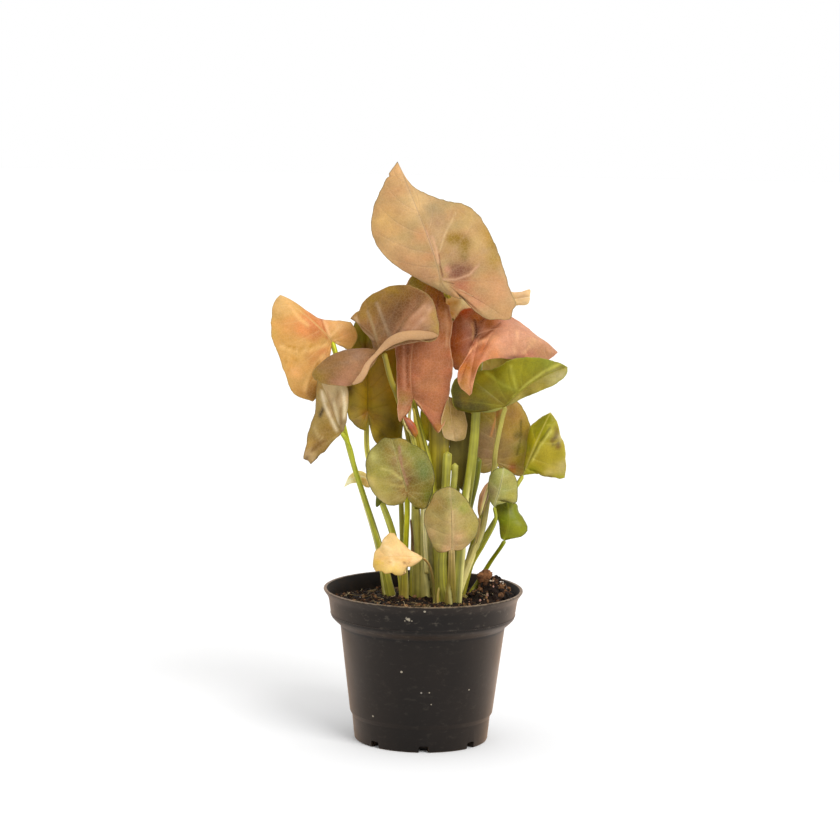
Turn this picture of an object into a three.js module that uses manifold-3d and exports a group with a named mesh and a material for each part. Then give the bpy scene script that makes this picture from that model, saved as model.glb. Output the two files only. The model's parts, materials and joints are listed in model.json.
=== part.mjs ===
// Arrowhead plant (a pink-leaved Syngonium) in a round nursery pot.
// Millimetres, +Z up. The origin is the centre of the pot's underside; -Y is the plant's front.
//
// The pot is a thin moulded shell filled with potting mix. Short stems stand in holes in the mix,
// each carrying the leaf stalks (petioles) of one plantlet, and every stalk ends just under its blade.
import * as THREE from "three";
import { mergeVertices } from "three/addons/utils/BufferGeometryUtils.js";
import Module from "manifold-3d";

// ---- Driving dimensions ----------------------------------------------------------------------
const POT_HEIGHT = 80;
const RIM_RADIUS = 52.3; // outside of the flared lip
const LIP_HEIGHT = 1;
const LIP_FOOT_RADIUS = 50.2;
const LIP_FOOT_HEIGHT = 76.6;
const COLLAR_TOP_RADIUS = 49.4;
const COLLAR_TOP_HEIGHT = 73.5;
const COLLAR_FOOT_RADIUS = 48.2;
const COLLAR_FOOT_HEIGHT = 65.5;
const BODY_TOP_RADIUS = 43.4;
const BODY_TOP_HEIGHT = 61;
const BODY_FOOT_RADIUS = 37.6;
const BODY_FOOT_HEIGHT = 15;
const FOOT_TOP_RADIUS = 36.3;
const FOOT_TOP_HEIGHT = 12.4;
const BASE_RADIUS = 35.2;
const WALL = 1.3;
const FLOOR_THICKNESS = 1.6;
const POT_SIDES = 48;
const DRAIN_COUNT = 8;
const DRAIN_WIDTH = 5;
const DRAIN_HEIGHT = 3.6;
const DRAIN_REACH = 7; // how far each drain notch runs in under the floor
const DRAIN_TURN = 2.5; // degrees from the front to the middle of the nearest notch

const SOIL_LEVEL = 74.5;
const FIT_GAP = 0.35; // between pieces that touch
const STEM_FOOT = 62; // how deep a plantlet's short stem goes into the mix
const STEM_TOP = 79;
const BLADE_THICKNESS = 0.9;
const STALK_SIDES = 8;
const PLANT_LEAN = -1; // degrees about the front-to-back line below
const LEAN_PIVOT = [0, 0, 59];

// ---- Blades ----------------------------------------------------------------------------------
// A blade is drawn by its midrib (joint, middle, tip) and by its two margins, each running from the
// joint round the basal lobe and up to the tip. "left" and "right" are as seen from the front.
// puff is how far each half swells towards the front, as a share of its width.
const BLADES = {
  leaf_top: {
    joint: [9, -10, 243], middle: [3, -5, 264], tip: [-13, 10, 303], puff: 0.07, fine: true,
    left: [[17, -9, 237], [25, -9, 228], [19, -8, 231], [8, -6, 238], [-6, -2, 245], [-17, 1, 252],
      [-24, 3, 260], [-26, 5, 268], [-24, 7, 282], [-19, 9, 291]],
    right: [[19, -15, 235], [29, -19, 226], [38, -20, 223], [46, -20, 224], [48, -18, 230], [44, -15, 239],
      [41, -11, 251], [37, -7, 263], [32, -3, 272], [24, 1, 280], [11, 4, 283], [-3, 7, 289], [-9, 9, 295]],
  },
  leaf_far_left: {
    joint: [-47, 2, 210], middle: [-57, -2, 221], tip: [-74, 4, 234], puff: 0.06, fine: true,
    left: [[-49, 0, 201], [-53, -2, 192], [-57, -3, 179], [-63, -4, 181], [-68, -5, 185], [-71, -6, 193],
      [-74, -5, 202], [-78, -3, 212], [-78, 1, 225]],
    right: [[-44, 3, 210], [-41, 4, 206], [-37, 4, 207], [-34, 5, 212], [-39, 6, 219], [-46, 6, 221],
      [-53, 6, 222], [-59, 6, 225], [-66, 5, 230]],
  },
  leaf_curled: {
    joint: [-22, -16, 206], middle: [-26, -13, 215], tip: [-37, -8, 224], puff: 0.1, fine: true,
    left: [[-25, -19, 202], [-29, -22, 196], [-35, -24, 192], [-42, -26, 190], [-50, -27, 191],
      [-57, -27, 196], [-53, -25, 200], [-44, -20, 205], [-35, -12, 208], [-29, -4, 209], [-29, -2, 216]],
    right: [[-18, -19, 208], [-11, -20, 212], [-4, -20, 214], [4, -19, 212], [8, -17, 216], [7, -15, 224],
      [4, -12, 233], [-2, -9, 238], [-11, -6, 241], [-21, -4, 238], [-29, -4, 234], [-33, -6, 227]],
  },
  leaf_drooping: {
    joint: [-42, -10, 164], middle: [-47, -13, 177], tip: [-54, -12, 195], puff: 0.08,
    left: [[-48, -9, 159], [-53, -8, 152], [-59, -6, 146], [-62, -5, 150], [-61, -5, 155], [-59, -5, 163],
      [-57, -6, 172], [-55, -7, 180], [-55, -9, 188]],
    right: [[-40, -15, 169], [-38, -18, 178], [-39, -19, 185], [-43, -18, 190]],
  },
  leaf_olive: {
    joint: [-29, 12, 172], middle: [-29, 10, 191], tip: [-31, 14, 226], puff: 0.1, fine: true,
    left: [[-29, 11, 166], [-30, 10, 162], [-35, 9, 165], [-39, 8, 170], [-40, 8, 179], [-40, 8, 189],
      [-38, 9, 202], [-37, 11, 215]],
    right: [[-28, 12, 165], [-25, 13, 156], [-18, 13, 153], [-12, 13, 158], [-10, 13, 167], [-10, 13, 181],
      [-11, 13, 196], [-15, 14, 212], [-22, 14, 223]],
  },
  leaf_pink: {
    joint: [-5, -3, 181], middle: [-5, -6, 209], tip: [5, 4, 246], puff: 0.09, fine: true,
    left: [[-8, -5, 175], [-10, -6, 171], [-12, -7, 169], [-13, -6, 176], [-13, -5, 188], [-14, -4, 201],
      [-15, -2, 214], [-13, 1, 228], [-9, 3, 239], [-4, 4, 245]],
    right: [[-1, -4, 178], [4, -6, 173], [8, -8, 164], [11, -7, 168], [13, -6, 179], [15, -5, 190],
      [16, -4, 198], [14, -4, 207], [14, -3, 212], [15, -2, 219], [12, 0, 229], [9, 2, 238]],
    flap: {
      joint: [13.4, -4.6, 182], middle: [15, -3.6, 170], tip: [17, -0.5, 158], puff: -0.06,
      left: [[11.5, -7.4, 177], [9.5, -8.4, 169], [11.5, -4.5, 160.5]],
      right: [[18, -2, 179], [22, 0, 172], [23.3, 1, 165], [21.5, 0.5, 159]],
    },
  },
  leaf_salmon: {
    joint: [28, -5, 214], middle: [47, -8, 217], tip: [70, -4, 205], puff: 0.07, fine: true,
    left: [[25, -2, 208], [22.5, 1, 201], [21, 2, 196], [17, 2, 195], [14, 3, 203], [14, 3, 212],
      [18, 4, 222], [24, 4, 228], [33, 3, 227], [41, 2, 225], [48, 1, 221], [56, 0, 216], [64, -1, 209]],
    right: [[25, -11, 209], [22, -15, 202], [19, -17, 196], [18, -17, 189], [21, -19, 187], [25, -20, 184],
      [27, -21, 192], [29, -20, 200], [33, -17, 203], [40, -13, 203], [48, -8, 202], [58, -6, 201],
      [66, -5, 202]],
  },
  leaf_green: {
    joint: [43, -12, 178], middle: [59, -19, 191], tip: [74, -22, 199], puff: 0.1, fine: true,
    left: [[37, -10, 176], [28, -8, 176], [19, -7, 175], [16, -7, 179], [15, -6, 186], [17, -5, 192],
      [25, -5, 195], [34, -7, 196], [42, -10, 199], [48, -12, 203], [57, -15, 204], [66, -18, 203]],
    right: [[48, -14, 182], [58, -18, 186], [66, -21, 190], [73, -23, 194]],
  },
  leaf_tan: {
    joint: [39, 20, 144], middle: [39, 20, 158], tip: [38, 24, 183], puff: 0.07, fine: true,
    left: [[36, 19, 139], [30, 19, 138], [23, 19, 144], [16, 19, 150], [14, 19, 159], [18, 20, 170],
      [27, 22, 179]],
    right: [[44, 21, 141], [49, 22, 140], [55, 23, 148], [57, 24, 158], [55, 24, 167], [51, 24, 175],
      [46, 24, 180]],
  },
  leaf_lime: {
    joint: [53, 13, 138], middle: [59, 12, 154], tip: [67, 17, 170], puff: 0.05,
    left: [[54, 15, 142], [54, 16, 149], [55, 18, 158], [57, 19, 164], [62, 18, 168]],
    right: [[59, 12, 138], [65, 12, 137], [69, 11, 135], [74, 11, 136], [75, 11, 145], [74, 13, 154],
      [71, 15, 164]],
  },
  leaf_round: {
    joint: [-8, -24, 135], middle: [-12, -25, 149], tip: [-16, -20, 162], puff: 0.12, fine: true,
    left: [[-10, -23, 129], [-17, -23, 128], [-23, -22, 131], [-28, -21, 139], [-29, -20, 146],
      [-28, -19, 154], [-24, -19, 159], [-20, -19, 162]],
    right: [[-6, -23, 129], [-1, -22, 126], [2, -21, 127], [5, -20, 133], [6, -19, 141], [4, -18, 149],
      [1, -18, 155], [-5, -18, 159], [-11, -19, 162]],
  },
  leaf_low_front: {
    joint: [15, -28, 106], middle: [15, -31, 121], tip: [14, -26, 138], puff: 0.1, fine: true,
    left: [[11, -27, 104], [8, -26, 104], [4, -25, 110], [1, -24, 117], [1, -23, 124], [4, -23, 129],
      [6, -24, 134], [10, -25, 137]],
    right: [[19, -27, 105], [23, -26, 107], [28, -25, 113], [29, -24, 119], [26, -23, 125], [23, -23, 130],
      [19, -24, 135]],
  },
  leaf_small_right: {
    joint: [37, -15, 126], middle: [40, -17, 136], tip: [42, -14, 146], puff: 0.1,
    left: [[35, -14, 129], [34, -13, 135], [35, -12, 141], [38, -13, 145]],
    right: [[40, -15, 127], [44, -14, 128], [48, -12, 127], [49, -11, 134], [48, -11, 141], [45, -12, 144]],
  },
  leaf_low_right: {
    joint: [43, -8, 107], middle: [45, -9, 118], tip: [44, -4, 127], puff: 0.1,
    left: [[41, -7, 108], [40, -5, 116], [38, -4, 120], [38, -3, 125]],
    right: [[47, -8, 108], [52, -8, 109], [55, -7, 113], [53, -5, 117], [50, -3, 121], [49, -3, 125]],
  },
  leaf_withered: {
    joint: [0, -26, 101], middle: [-12, -28, 102], tip: [-25, -24, 98], puff: 0.12,
    left: [[-5, -28, 97], [-10, -29, 94], [-12, -30, 92], [-18, -29, 92], [-23, -27, 94]],
    right: [[-5, -25, 103], [-9, -24, 105], [-12, -23, 110], [-15, -22, 112], [-19, -22, 110],
      [-23, -22, 105]],
  },
  leaf_golden: {
    joint: [23, 16, 217], middle: [36, 14, 227], tip: [56.5, 12, 235], puff: 0.06,
    left: [[17, 15, 219], [13, 14, 223], [11, 14, 232], [13, 14, 236], [22, 14, 238], [35, 13, 238],
      [48, 12, 237], [56, 12, 238]],
    right: [[27, 16, 215], [33, 15, 218], [40, 14, 224], [48, 13, 230], [55.5, 12, 231.5]],
  },
  leaf_scrap: {
    joint: [-26.5, 7, 134], middle: [-33, 6, 138.5], tip: [-41, 5, 133], puff: 0.1,
    left: [[-29, 6.5, 132], [-33, 6, 135], [-37, 5, 135]],
    right: [[-28, 7.5, 138], [-33, 8, 141], [-38, 7, 139]],
  },
  leaf_inner: {
    joint: [4, 6, 157], middle: [4, 5, 171], tip: [4, 8, 186], puff: 0.1,
    left: [[2, 6, 158], [0, 6, 164], [-1, 6, 172], [1, 7, 181]],
    right: [[7, 6, 158], [10, 6, 165], [11, 7, 173], [9, 8, 181]],
  },
  leaf_low_left: {
    joint: [-21, -6, 127], middle: [-18, -8, 134], tip: [-14, -6, 146], puff: 0.1,
    left: [[-22, -6, 126], [-24, -6, 124], [-24, -5, 130], [-22, -5, 138]],
    right: [[-18, -7, 127], [-14, -8, 129], [-11, -8, 134], [-11, -7, 142]],
  },
  leaf_back_left: {
    joint: [-12, 38, 180], middle: [-14, 44, 196], tip: [-19, 47, 221], puff: -0.1, fine: true,
    left: [[-16, 38, 174], [-22, 38, 172], [-29, 37, 178], [-32, 38, 188], [-31, 40, 199], [-27, 43, 211]],
    right: [[-9, 38, 174], [-4, 37, 171], [3, 36, 177], [5, 37, 188], [2, 40, 200], [-6, 44, 212]],
  },
  leaf_back_right: {
    joint: [34, 42, 171], middle: [36, 48, 185], tip: [39, 50, 208], puff: -0.1, fine: true,
    left: [[31, 42, 166], [26, 41, 164], [20, 40, 169], [19, 40, 180], [22, 43, 191], [29, 47, 201]],
    right: [[37, 42, 166], [42, 40, 164], [48, 38, 170], [50, 38, 181], [49, 41, 192], [45, 46, 201]],
  },
};

// ---- Leaf stalks -----------------------------------------------------------------------------
// One plantlet is a short stem and the stalks that rise from it. A stalk is listed from its top, at
// the blade's joint, down to where it meets the stem; radius is [top, foot]. It stops short of the
// joint by BLADE_REACH, or by LOBE_REACH where two basal lobes close round it.
const BLADE_REACH = 0.8;
const LOBE_REACH = 2.3;
const PLANTLETS = {
  stalks_left: {
    stem: { at: [-19, 8], radius: 3.4 },
    stalks: [
      { radius: [1.4, 2.4], path: [[-47, 2, 210], [-44.5, 1, 200], [-44, 0, 180], [-40, 2, 160],
        [-35.5, 3, 143], [-30.5, 4, 127], [-23, 7, 101], [-19, 8, 72]] },
      { radius: [1.5, 2.9], path: [[-42, -10, 164], [-38, -6, 156], [-35, -4, 143], [-30, -2, 127],
        [-23, 3, 101], [-19, 7, 72]] },
    ],
  },
  stalks_front_left: {
    stem: { at: [-10, 0], radius: 3.2 },
    stalks: [
      { radius: [1.4, 2.7], reach: LOBE_REACH,
        path: [[-8, -24, 135], [-8, -19, 131], [-8, -14, 122], [-9, -7, 102], [-10, 0, 71]] },
      { radius: [1.1, 2.1], path: [[-21, -6, 127], [-17, -6, 117], [-14, -4, 106], [-12, -1, 90],
        [-10, 0, 71]] },
    ],
  },
  stalk_back_left: {
    stem: { at: [-9, 13], radius: 2.8 },
    stalks: [
      { radius: [1.4, 2.5], reach: LOBE_REACH,
        path: [[-29, 12, 172], [-29.5, 15.5, 164], [-29, 15, 149], [-22, 12, 125], [-15, 11, 104],
          [-9, 13, 71]] },
      { radius: [1.2, 2.2], reach: LOBE_REACH,
        path: [[-12, 38, 180], [-12, 34.5, 173], [-12, 29, 148], [-11, 20, 110], [-9, 13, 71]] },
    ],
  },
  stalks_middle: {
    stem: { at: [-1, 3], radius: 4 },
    stalks: [
      { radius: [1.4, 3.4], path: [[-22, -16, 206], [-17, -6, 191], [-13, 0, 181], [-8, 3, 163],
        [-5, 3, 142], [-3, 3, 116], [-2, 3, 71]] },
      { radius: [0.9, 1.7], path: [[4, 6, 157], [3, 6, 147], [3, 5, 126], [1, 4, 105], [0, 3, 71]] },
      { radius: [1.2, 2.2], path: [[-8, -6, 168], [-6, -5, 163], [-4, -3, 155], [-3, 0, 143],
        [-3, 2, 128]] },
    ],
  },
  stalks_centre: {
    stem: { at: [9, -2], radius: 3.2 },
    stalks: [
      { radius: [1.5, 3], reach: LOBE_REACH,
        path: [[-5, -3, 181], [-3.5, 1, 173], [0.5, 0.5, 158], [4, -1, 143], [6, -1, 121],
          [8, -2, 95], [9, -2, 71]] },
      { radius: [2.3, 1.6], path: [[13, -4, 153], [12, -4, 134], [11, -3, 112], [9, -2, 85]] },
      { radius: [1.7, 1.4], path: [[17, -4, 147], [16, -4, 134], [12, -3, 112], [10, -2, 90]] },
    ],
  },
  stalks_front: {
    stem: { at: [15, -12], radius: 4.6 },
    stalks: [
      { radius: [1.7, 3.4], reach: LOBE_REACH,
        path: [[28, -5, 214], [30, -2, 207], [29, 0.5, 196], [28, 1.5, 176], [27, 1, 160],
          [25, 0, 141], [22, -3, 122], [19, -8, 96], [17, -12, 71]], sheath: 1.2 },
      { radius: [1.6, 3.4], path: [[15, -28, 106], [15, -23, 95], [15, -18, 85], [14, -12, 71]] },
    ],
  },
  stalks_right: {
    stem: { at: [22, 0], radius: 3.8 },
    stalks: [
      { radius: [1.4, 3], path: [[43, -12, 178], [41, -10, 170], [38, -7, 154], [37, -3, 143],
        [34, -2, 127], [31, -2, 111], [27, -2, 100], [23, -1, 88], [21, 0, 71]], sheath: 1.2 },
      { radius: [0.9, 1.4], path: [[37, -15, 126], [38, -13, 119], [32, -8, 105], [27, -4, 93],
        [23, -1, 80]] },
      { radius: [1.1, 2], path: [[53, 13, 138], [49, 10, 132], [43, 7, 123], [37, 5, 111], [30, 3, 97],
        [23, 1, 76]] },
      { radius: [1.2, 2], path: [[39, 20, 144], [37, 14, 136], [32, 9, 120], [27, 4, 98], [22, 1, 76]] },
      { radius: [1.1, 1.8], path: [[43, -8, 107], [41, -5.5, 103], [36, 2.5, 94], [31.5, 5, 86],
        [25, 2, 76]] },
      { radius: [2.2, 2], path: [[29, 3, 149], [28, 3, 137], [27, 3, 124], [25, 2, 105], [23, 1, 84]] },
      { radius: [0.8, 1.2], path: [[29.5, -7.5, 119], [29, -6, 111], [27, -4, 99], [24, -1, 85]] },
    ],
  },
  stalks_back: {
    stem: { at: [9, 15], radius: 3.8 },
    stalks: [
      { radius: [1.8, 2.6], reach: LOBE_REACH,
        path: [[9, -10, 243], [12, -5, 237], [14, 3, 231], [15, 8, 221], [13, 11, 205],
          [12, 12, 179], [10, 13, 152], [8, 14, 120], [8, 15, 71]] },
      { radius: [1.2, 2], path: [[23, 16, 217], [23.5, 18.5, 209], [24, 15, 192], [24, 14, 176],
        [21, 14, 150], [16, 15, 114], [11, 15, 76]] },
      { radius: [1.2, 2.2], reach: LOBE_REACH,
        path: [[34, 42, 171], [33, 38, 164], [29, 32, 140], [20, 22, 105], [10, 16, 71]] },
    ],
  },
  stalk_withered: {
    stem: { at: [6, -13], radius: 0.9 },
    stalks: [
      { radius: [0.8, 1], path: [[0, -26, 101], [3, -22, 97], [5, -17, 90], [6, -13, 80], [6, -13, 68]] },
    ],
  },
};

// Two young leaves still rolled up, as [centre, radius] from the lower end to the upper one.
const ROLLED_LEAVES = {
  leaf_unfurling: [[[-3, -6.5, 161.5], 0.6], [[-4, -7, 163.5], 1.9], [[-7, -7.5, 166.5], 2.3],
    [[-9.5, -7.5, 168.5], 1.6], [[-12, -7, 169.5], 0.5]],
  leaf_rolled_right: [[[29.5, -7.5, 119], 0.7], [[30.5, -8, 124], 1.8], [[32, -8, 130], 2.4],
    [[33.5, -8, 135], 1.5], [[34.5, -8, 138], 0.4]],
};

const BARK_CHIP = { at: [31.7, -1, 87], size: [3.9, 3.1, 3.7] };

// ---- Shared geometry helpers -----------------------------------------------------------------
const wasm = await Module();
wasm.setup();

// A place on the plant, which as a whole leans a little to the left.
const leanPivot = new THREE.Vector3(...LEAN_PIVOT);
const point = (p) =>
  new THREE.Vector3(...p)
    .sub(leanPivot)
    .applyAxisAngle(new THREE.Vector3(0, 1, 0), THREE.MathUtils.degToRad(PLANT_LEAN))
    .add(leanPivot);

// A closed three.js geometry as a manifold-3d solid, for a boolean.
function solid(geometry) {
  const bare = geometry.clone();
  bare.deleteAttribute("normal");
  bare.deleteAttribute("uv");
  const merged = mergeVertices(bare, 1e-4);
  return new wasm.Manifold(
    new wasm.Mesh({
      numProp: 3,
      vertProperties: merged.attributes.position.array,
      triVerts: new Uint32Array(merged.index.array),
    }),
  );
}

// A manifold-3d solid back as a three.js geometry.
function geometryOf(shape) {
  const mesh = shape.getMesh();
  const positions = new Float32Array(mesh.numVert * 3);
  for (let i = 0; i < mesh.numVert; i++) {
    const start = i * mesh.numProp;
    positions.set(mesh.vertProperties.subarray(start, start + 3), i * 3);
  }
  return new THREE.BufferGeometry()
    .setAttribute("position", new THREE.BufferAttribute(positions, 3))
    .setIndex(new THREE.BufferAttribute(mesh.triVerts, 1));
}

// The largest of a solid's separate bodies.
const largest = (shape) => shape.decompose().sort((a, b) => b.volume() - a.volume())[0];

// An indexed geometry from a list of Vector3 and a list of triangles.
function geometryFrom(vertices, triangles) {
  return new THREE.BufferGeometry()
    .setAttribute("position", new THREE.Float32BufferAttribute(vertices.flatMap((v) => v.toArray()), 3))
    .setIndex(triangles.flat());
}

// A closed skin over a stack of rings with the same number of points, with a fan over each end.
function skinOver(rings) {
  const sides = rings[0].length;
  const vertices = rings.flat();
  const triangles = [];
  for (let k = 0; k + 1 < rings.length; k++) {
    for (let i = 0; i < sides; i++) {
      const j = (i + 1) % sides;
      const [a, b, c, d] = [k * sides + i, k * sides + j, (k + 1) * sides + j, (k + 1) * sides + i];
      triangles.push([a, b, c], [a, c, d]);
    }
  }
  for (const end of [0, rings.length - 1]) {
    const ring = rings[end];
    const centre = ring.reduce((sum, v) => sum.add(v), new THREE.Vector3()).divideScalar(sides);
    const hub = vertices.push(centre) - 1;
    for (let i = 0; i < sides; i++) {
      const [a, b] = [end * sides + i, end * sides + ((i + 1) % sides)];
      triangles.push(end === 0 ? [hub, b, a] : [hub, a, b]);
    }
  }
  return geometryFrom(vertices, triangles);
}

// ---- Blade -----------------------------------------------------------------------------------
// The middle surface is ruled from the midrib to the margin along the lines that the side veins
// follow: a fan round the joint for the basal lobe, then one line for each step up the midrib.
function bladeSurface(blade) {
  const [steps, ribSteps, rows] = blade.fine ? [14, 9, 3] : [9, 6, 2];
  const joint = point(blade.joint);
  const tip = point(blade.tip);
  const control = point(blade.middle).multiplyScalar(2).sub(joint.clone().add(tip).multiplyScalar(0.5));
  const midrib = new THREE.QuadraticBezierCurve3(joint, control, tip);
  const along = tip.clone().sub(joint).normalize();

  const vertices = [];
  const add = (v) => vertices.push(v) - 1;
  const ribIndex = Array.from({ length: ribSteps + 1 }, (_, k) => add(midrib.getPoint(k / ribSteps)));
  const triangles = [];
  const margins = [];

  for (const side of ["right", "left"]) {
    const turn = side === "right" ? 1 : -1;
    const margin = new THREE.CatmullRomCurve3(
      [joint, ...blade[side].map(point), tip], false, "centripetal",
    );
    // The share of the margin that belongs to the basal lobe ends level with the joint.
    let lobeShare = 0.1;
    for (let u = 0.1; u < 0.6; u += 0.01) {
      if (margin.getPointAt(u).sub(joint).dot(along) < 0) lobeShare = u;
    }
    const lobeSteps = Math.max(3, Math.round(steps * lobeShare * 1.2));
    const columns = lobeSteps + ribSteps;
    const share = (c) =>
      c <= lobeSteps
        ? (lobeShare * c) / lobeSteps
        : lobeShare + ((1 - lobeShare) * (c - lobeSteps)) / ribSteps;
    const grid = [];
    for (let c = 0; c <= columns; c++) {
      const start = ribIndex[Math.max(0, c - lobeSteps)];
      const root = vertices[start];
      const edge = margin.getPointAt(share(c));
      const reach = edge.clone().sub(root);
      const swell = margin.getTangentAt(share(c)).cross(reach).multiplyScalar(-turn).normalize()
        .multiplyScalar(blade.puff * reach.length());
      grid.push([start]);
      for (let r = 1; r <= rows; r++) {
        const s = r / rows;
        if (c === 0 || c === columns) {
          grid[c].push(start);
        } else {
          grid[c].push(add(root.clone().addScaledVector(reach, s).addScaledVector(swell, 4 * s * (1 - s))));
        }
      }
    }
    for (let c = 0; c < columns; c++) {
      for (let r = 0; r < rows; r++) {
        const [a, b, d, e] = [grid[c][r], grid[c + 1][r], grid[c + 1][r + 1], grid[c][r + 1]];
        for (const t of [[a, e, d], [a, d, b]]) {
          if (new Set(t).size === 3) triangles.push(turn === 1 ? t : [t[0], t[2], t[1]]);
        }
      }
    }
    margins.push(grid.map((column) => column[rows]));
  }
  const [right, left] = margins;
  const loop = [...right, ...left.reverse().slice(1, -1)]; // joint, right margin, tip, left margin
  return { vertices, triangles, loop };
}

// The surface given a thickness, with the same triangles on both faces and a wall round the margin.
function bladeGeometry(blade, thickness) {
  const { vertices, triangles, loop } = bladeSurface(blade);
  const normals = vertices.map(() => new THREE.Vector3());
  for (const t of triangles) {
    const [a, b, c] = t.map((i) => vertices[i]);
    const face = b.clone().sub(a).cross(c.clone().sub(a));
    t.forEach((i) => normals[i].add(face));
  }
  normals.forEach((n) => n.normalize());
  const upper = vertices.map((v, i) => v.clone().addScaledVector(normals[i], thickness / 2));
  const lower = vertices.map((v, i) => v.clone().addScaledVector(normals[i], -thickness / 2));
  const count = vertices.length;
  const faces = [...triangles, ...triangles.map(([a, b, c]) => [a + count, c + count, b + count])];
  loop.forEach((a, i) => {
    const b = loop[(i + 1) % loop.length];
    faces.push([a, b + count, b], [a, a + count, b + count]);
  });
  return geometryFrom([...upper, ...lower], faces);
}

// The same as a solid, fused with the flap that a folded lobe turns out to the side.
function bladeSolid(blade, thickness) {
  const shape = solid(bladeGeometry(blade, thickness));
  return blade.flap ? shape.add(solid(bladeGeometry(blade.flap, thickness))) : shape;
}

// ---- Stalk -----------------------------------------------------------------------------------
// A stalk is flattened a little from front to back, and its foot widens into a clasping sheath.
const STALK_DEPTH = 0.78; // depth over width

function stalkSolid({ path, radius, reach = BLADE_REACH, sheath = 1.6 }, extra = 0) {
  const curve = new THREE.CatmullRomCurve3([...path].reverse().map(point), false, "centripetal");
  const length = curve.getLength();
  const steps = Math.max(5, Math.round(length / 15));
  const [top, foot] = radius;
  const rings = [];
  for (let k = 0; k <= steps; k++) {
    const t = (k / steps) * (1 - reach / length);
    const centre = curve.getPointAt(t);
    const tangent = curve.getTangentAt(t);
    const depth = tangent.clone().cross(new THREE.Vector3(1, 0, 0)).normalize();
    const width = depth.clone().cross(tangent).normalize();
    const r = top + (foot - top) * (1 - t) ** sheath + extra;
    rings.push(
      Array.from({ length: STALK_SIDES }, (_, i) => {
        const angle = (2 * Math.PI * i) / STALK_SIDES;
        return centre.clone()
          .addScaledVector(width, r * Math.cos(angle))
          .addScaledVector(depth, r * STALK_DEPTH * Math.sin(angle));
      }),
    );
  }
  return solid(skinOver(rings));
}

// The short stem that a plantlet's stalks share, rounded at its foot.
function stemSolid({ at, radius }, extra = 0) {
  const r = radius + extra;
  const foot = STEM_FOOT - extra;
  const outline = [[0, foot], [r * 0.6, foot], [r, foot + 3], [r, STEM_TOP - 4], [r * 0.6, STEM_TOP],
    [0, STEM_TOP]];
  const lathe = new THREE.LatheGeometry(outline.map(([x, y]) => new THREE.Vector2(x, y)), 12);
  return solid(lathe.rotateX(Math.PI / 2).translate(at[0], at[1], 0));
}

function plantletSolid({ stem, stalks }, extra = 0) {
  return stalks.reduce((all, stalk) => all.add(stalkSolid(stalk, extra)), stemSolid(stem, extra));
}

// ---- Rolled young leaves ---------------------------------------------------------------------
function rolledLeafGeometry(stations, extra = 0) {
  const curve = new THREE.CatmullRomCurve3(stations.map(([centre]) => point(centre)), false, "centripetal");
  const rings = stations.map(([centre, r], k) => {
    const tangent = curve.getTangent(k / (stations.length - 1));
    const depth = tangent.clone().cross(new THREE.Vector3(1, 0, 0)).normalize();
    const width = depth.clone().cross(tangent).normalize();
    return Array.from({ length: STALK_SIDES }, (_, i) => {
      const angle = (2 * Math.PI * i) / STALK_SIDES;
      return point(centre)
        .addScaledVector(width, (r + extra) * Math.cos(angle))
        .addScaledVector(depth, (r * STALK_DEPTH + extra) * Math.sin(angle));
    });
  });
  return skinOver(rings);
}

// ---- Pot -------------------------------------------------------------------------------------
// The inside of the wall from the rim down to the floor, and the outside from the floor up, as
// [radius, height].
const POT_INSIDE = [
  [RIM_RADIUS - 1.5, POT_HEIGHT],
  [LIP_FOOT_RADIUS - WALL, LIP_FOOT_HEIGHT],
  [COLLAR_TOP_RADIUS - WALL, COLLAR_TOP_HEIGHT],
  [COLLAR_FOOT_RADIUS - WALL, COLLAR_FOOT_HEIGHT + 0.5],
  [BODY_TOP_RADIUS - WALL, BODY_TOP_HEIGHT + 0.6],
  [BODY_FOOT_RADIUS - WALL, BODY_FOOT_HEIGHT + 0.4],
  [FOOT_TOP_RADIUS - WALL, FOOT_TOP_HEIGHT + 0.4],
  [BASE_RADIUS - WALL - 0.4, FLOOR_THICKNESS],
];
const POT_OUTSIDE = [
  [0, 0],
  [BASE_RADIUS - 1, 0],
  [BASE_RADIUS, 1],
  [FOOT_TOP_RADIUS, FOOT_TOP_HEIGHT],
  [BODY_FOOT_RADIUS, BODY_FOOT_HEIGHT],
  [BODY_TOP_RADIUS, BODY_TOP_HEIGHT],
  [COLLAR_FOOT_RADIUS - 1.9, COLLAR_FOOT_HEIGHT - 2],
  [COLLAR_FOOT_RADIUS, COLLAR_FOOT_HEIGHT],
  [COLLAR_TOP_RADIUS, COLLAR_TOP_HEIGHT],
  [LIP_FOOT_RADIUS, LIP_FOOT_HEIGHT],
  [RIM_RADIUS, POT_HEIGHT - LIP_HEIGHT],
  [RIM_RADIUS - 0.4, POT_HEIGHT],
];

// The radius inside the wall at a height.
function insideRadius(height) {
  for (let k = 0; k + 1 < POT_INSIDE.length; k++) {
    const [[r1, z1], [r0, z0]] = [POT_INSIDE[k], POT_INSIDE[k + 1]];
    if (height >= z0) return r0 + ((r1 - r0) * Math.min(1, (height - z0) / (z1 - z0)));
  }
  return POT_INSIDE.at(-1)[0];
}

function potGeometry() {
  const outline = [...POT_OUTSIDE, ...POT_INSIDE, [0, FLOOR_THICKNESS]];
  const lathe = new THREE.LatheGeometry(outline.map(([x, y]) => new THREE.Vector2(x, y)), POT_SIDES);
  let pot = solid(lathe.rotateX(Math.PI / 2));
  for (let k = 0; k < DRAIN_COUNT; k++) {
    const notch = new THREE.BoxGeometry(DRAIN_WIDTH, DRAIN_REACH + 4, DRAIN_HEIGHT * 2)
      .translate(0, -(BASE_RADIUS + 4 - (DRAIN_REACH + 4) / 2), 0)
      .rotateZ((2 * Math.PI * k) / DRAIN_COUNT + THREE.MathUtils.degToRad(DRAIN_TURN));
    pot = pot.subtract(solid(notch));
  }
  return geometryOf(pot);
}

// ---- Potting mix -----------------------------------------------------------------------------
const SOIL_RINGS = 9;

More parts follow.
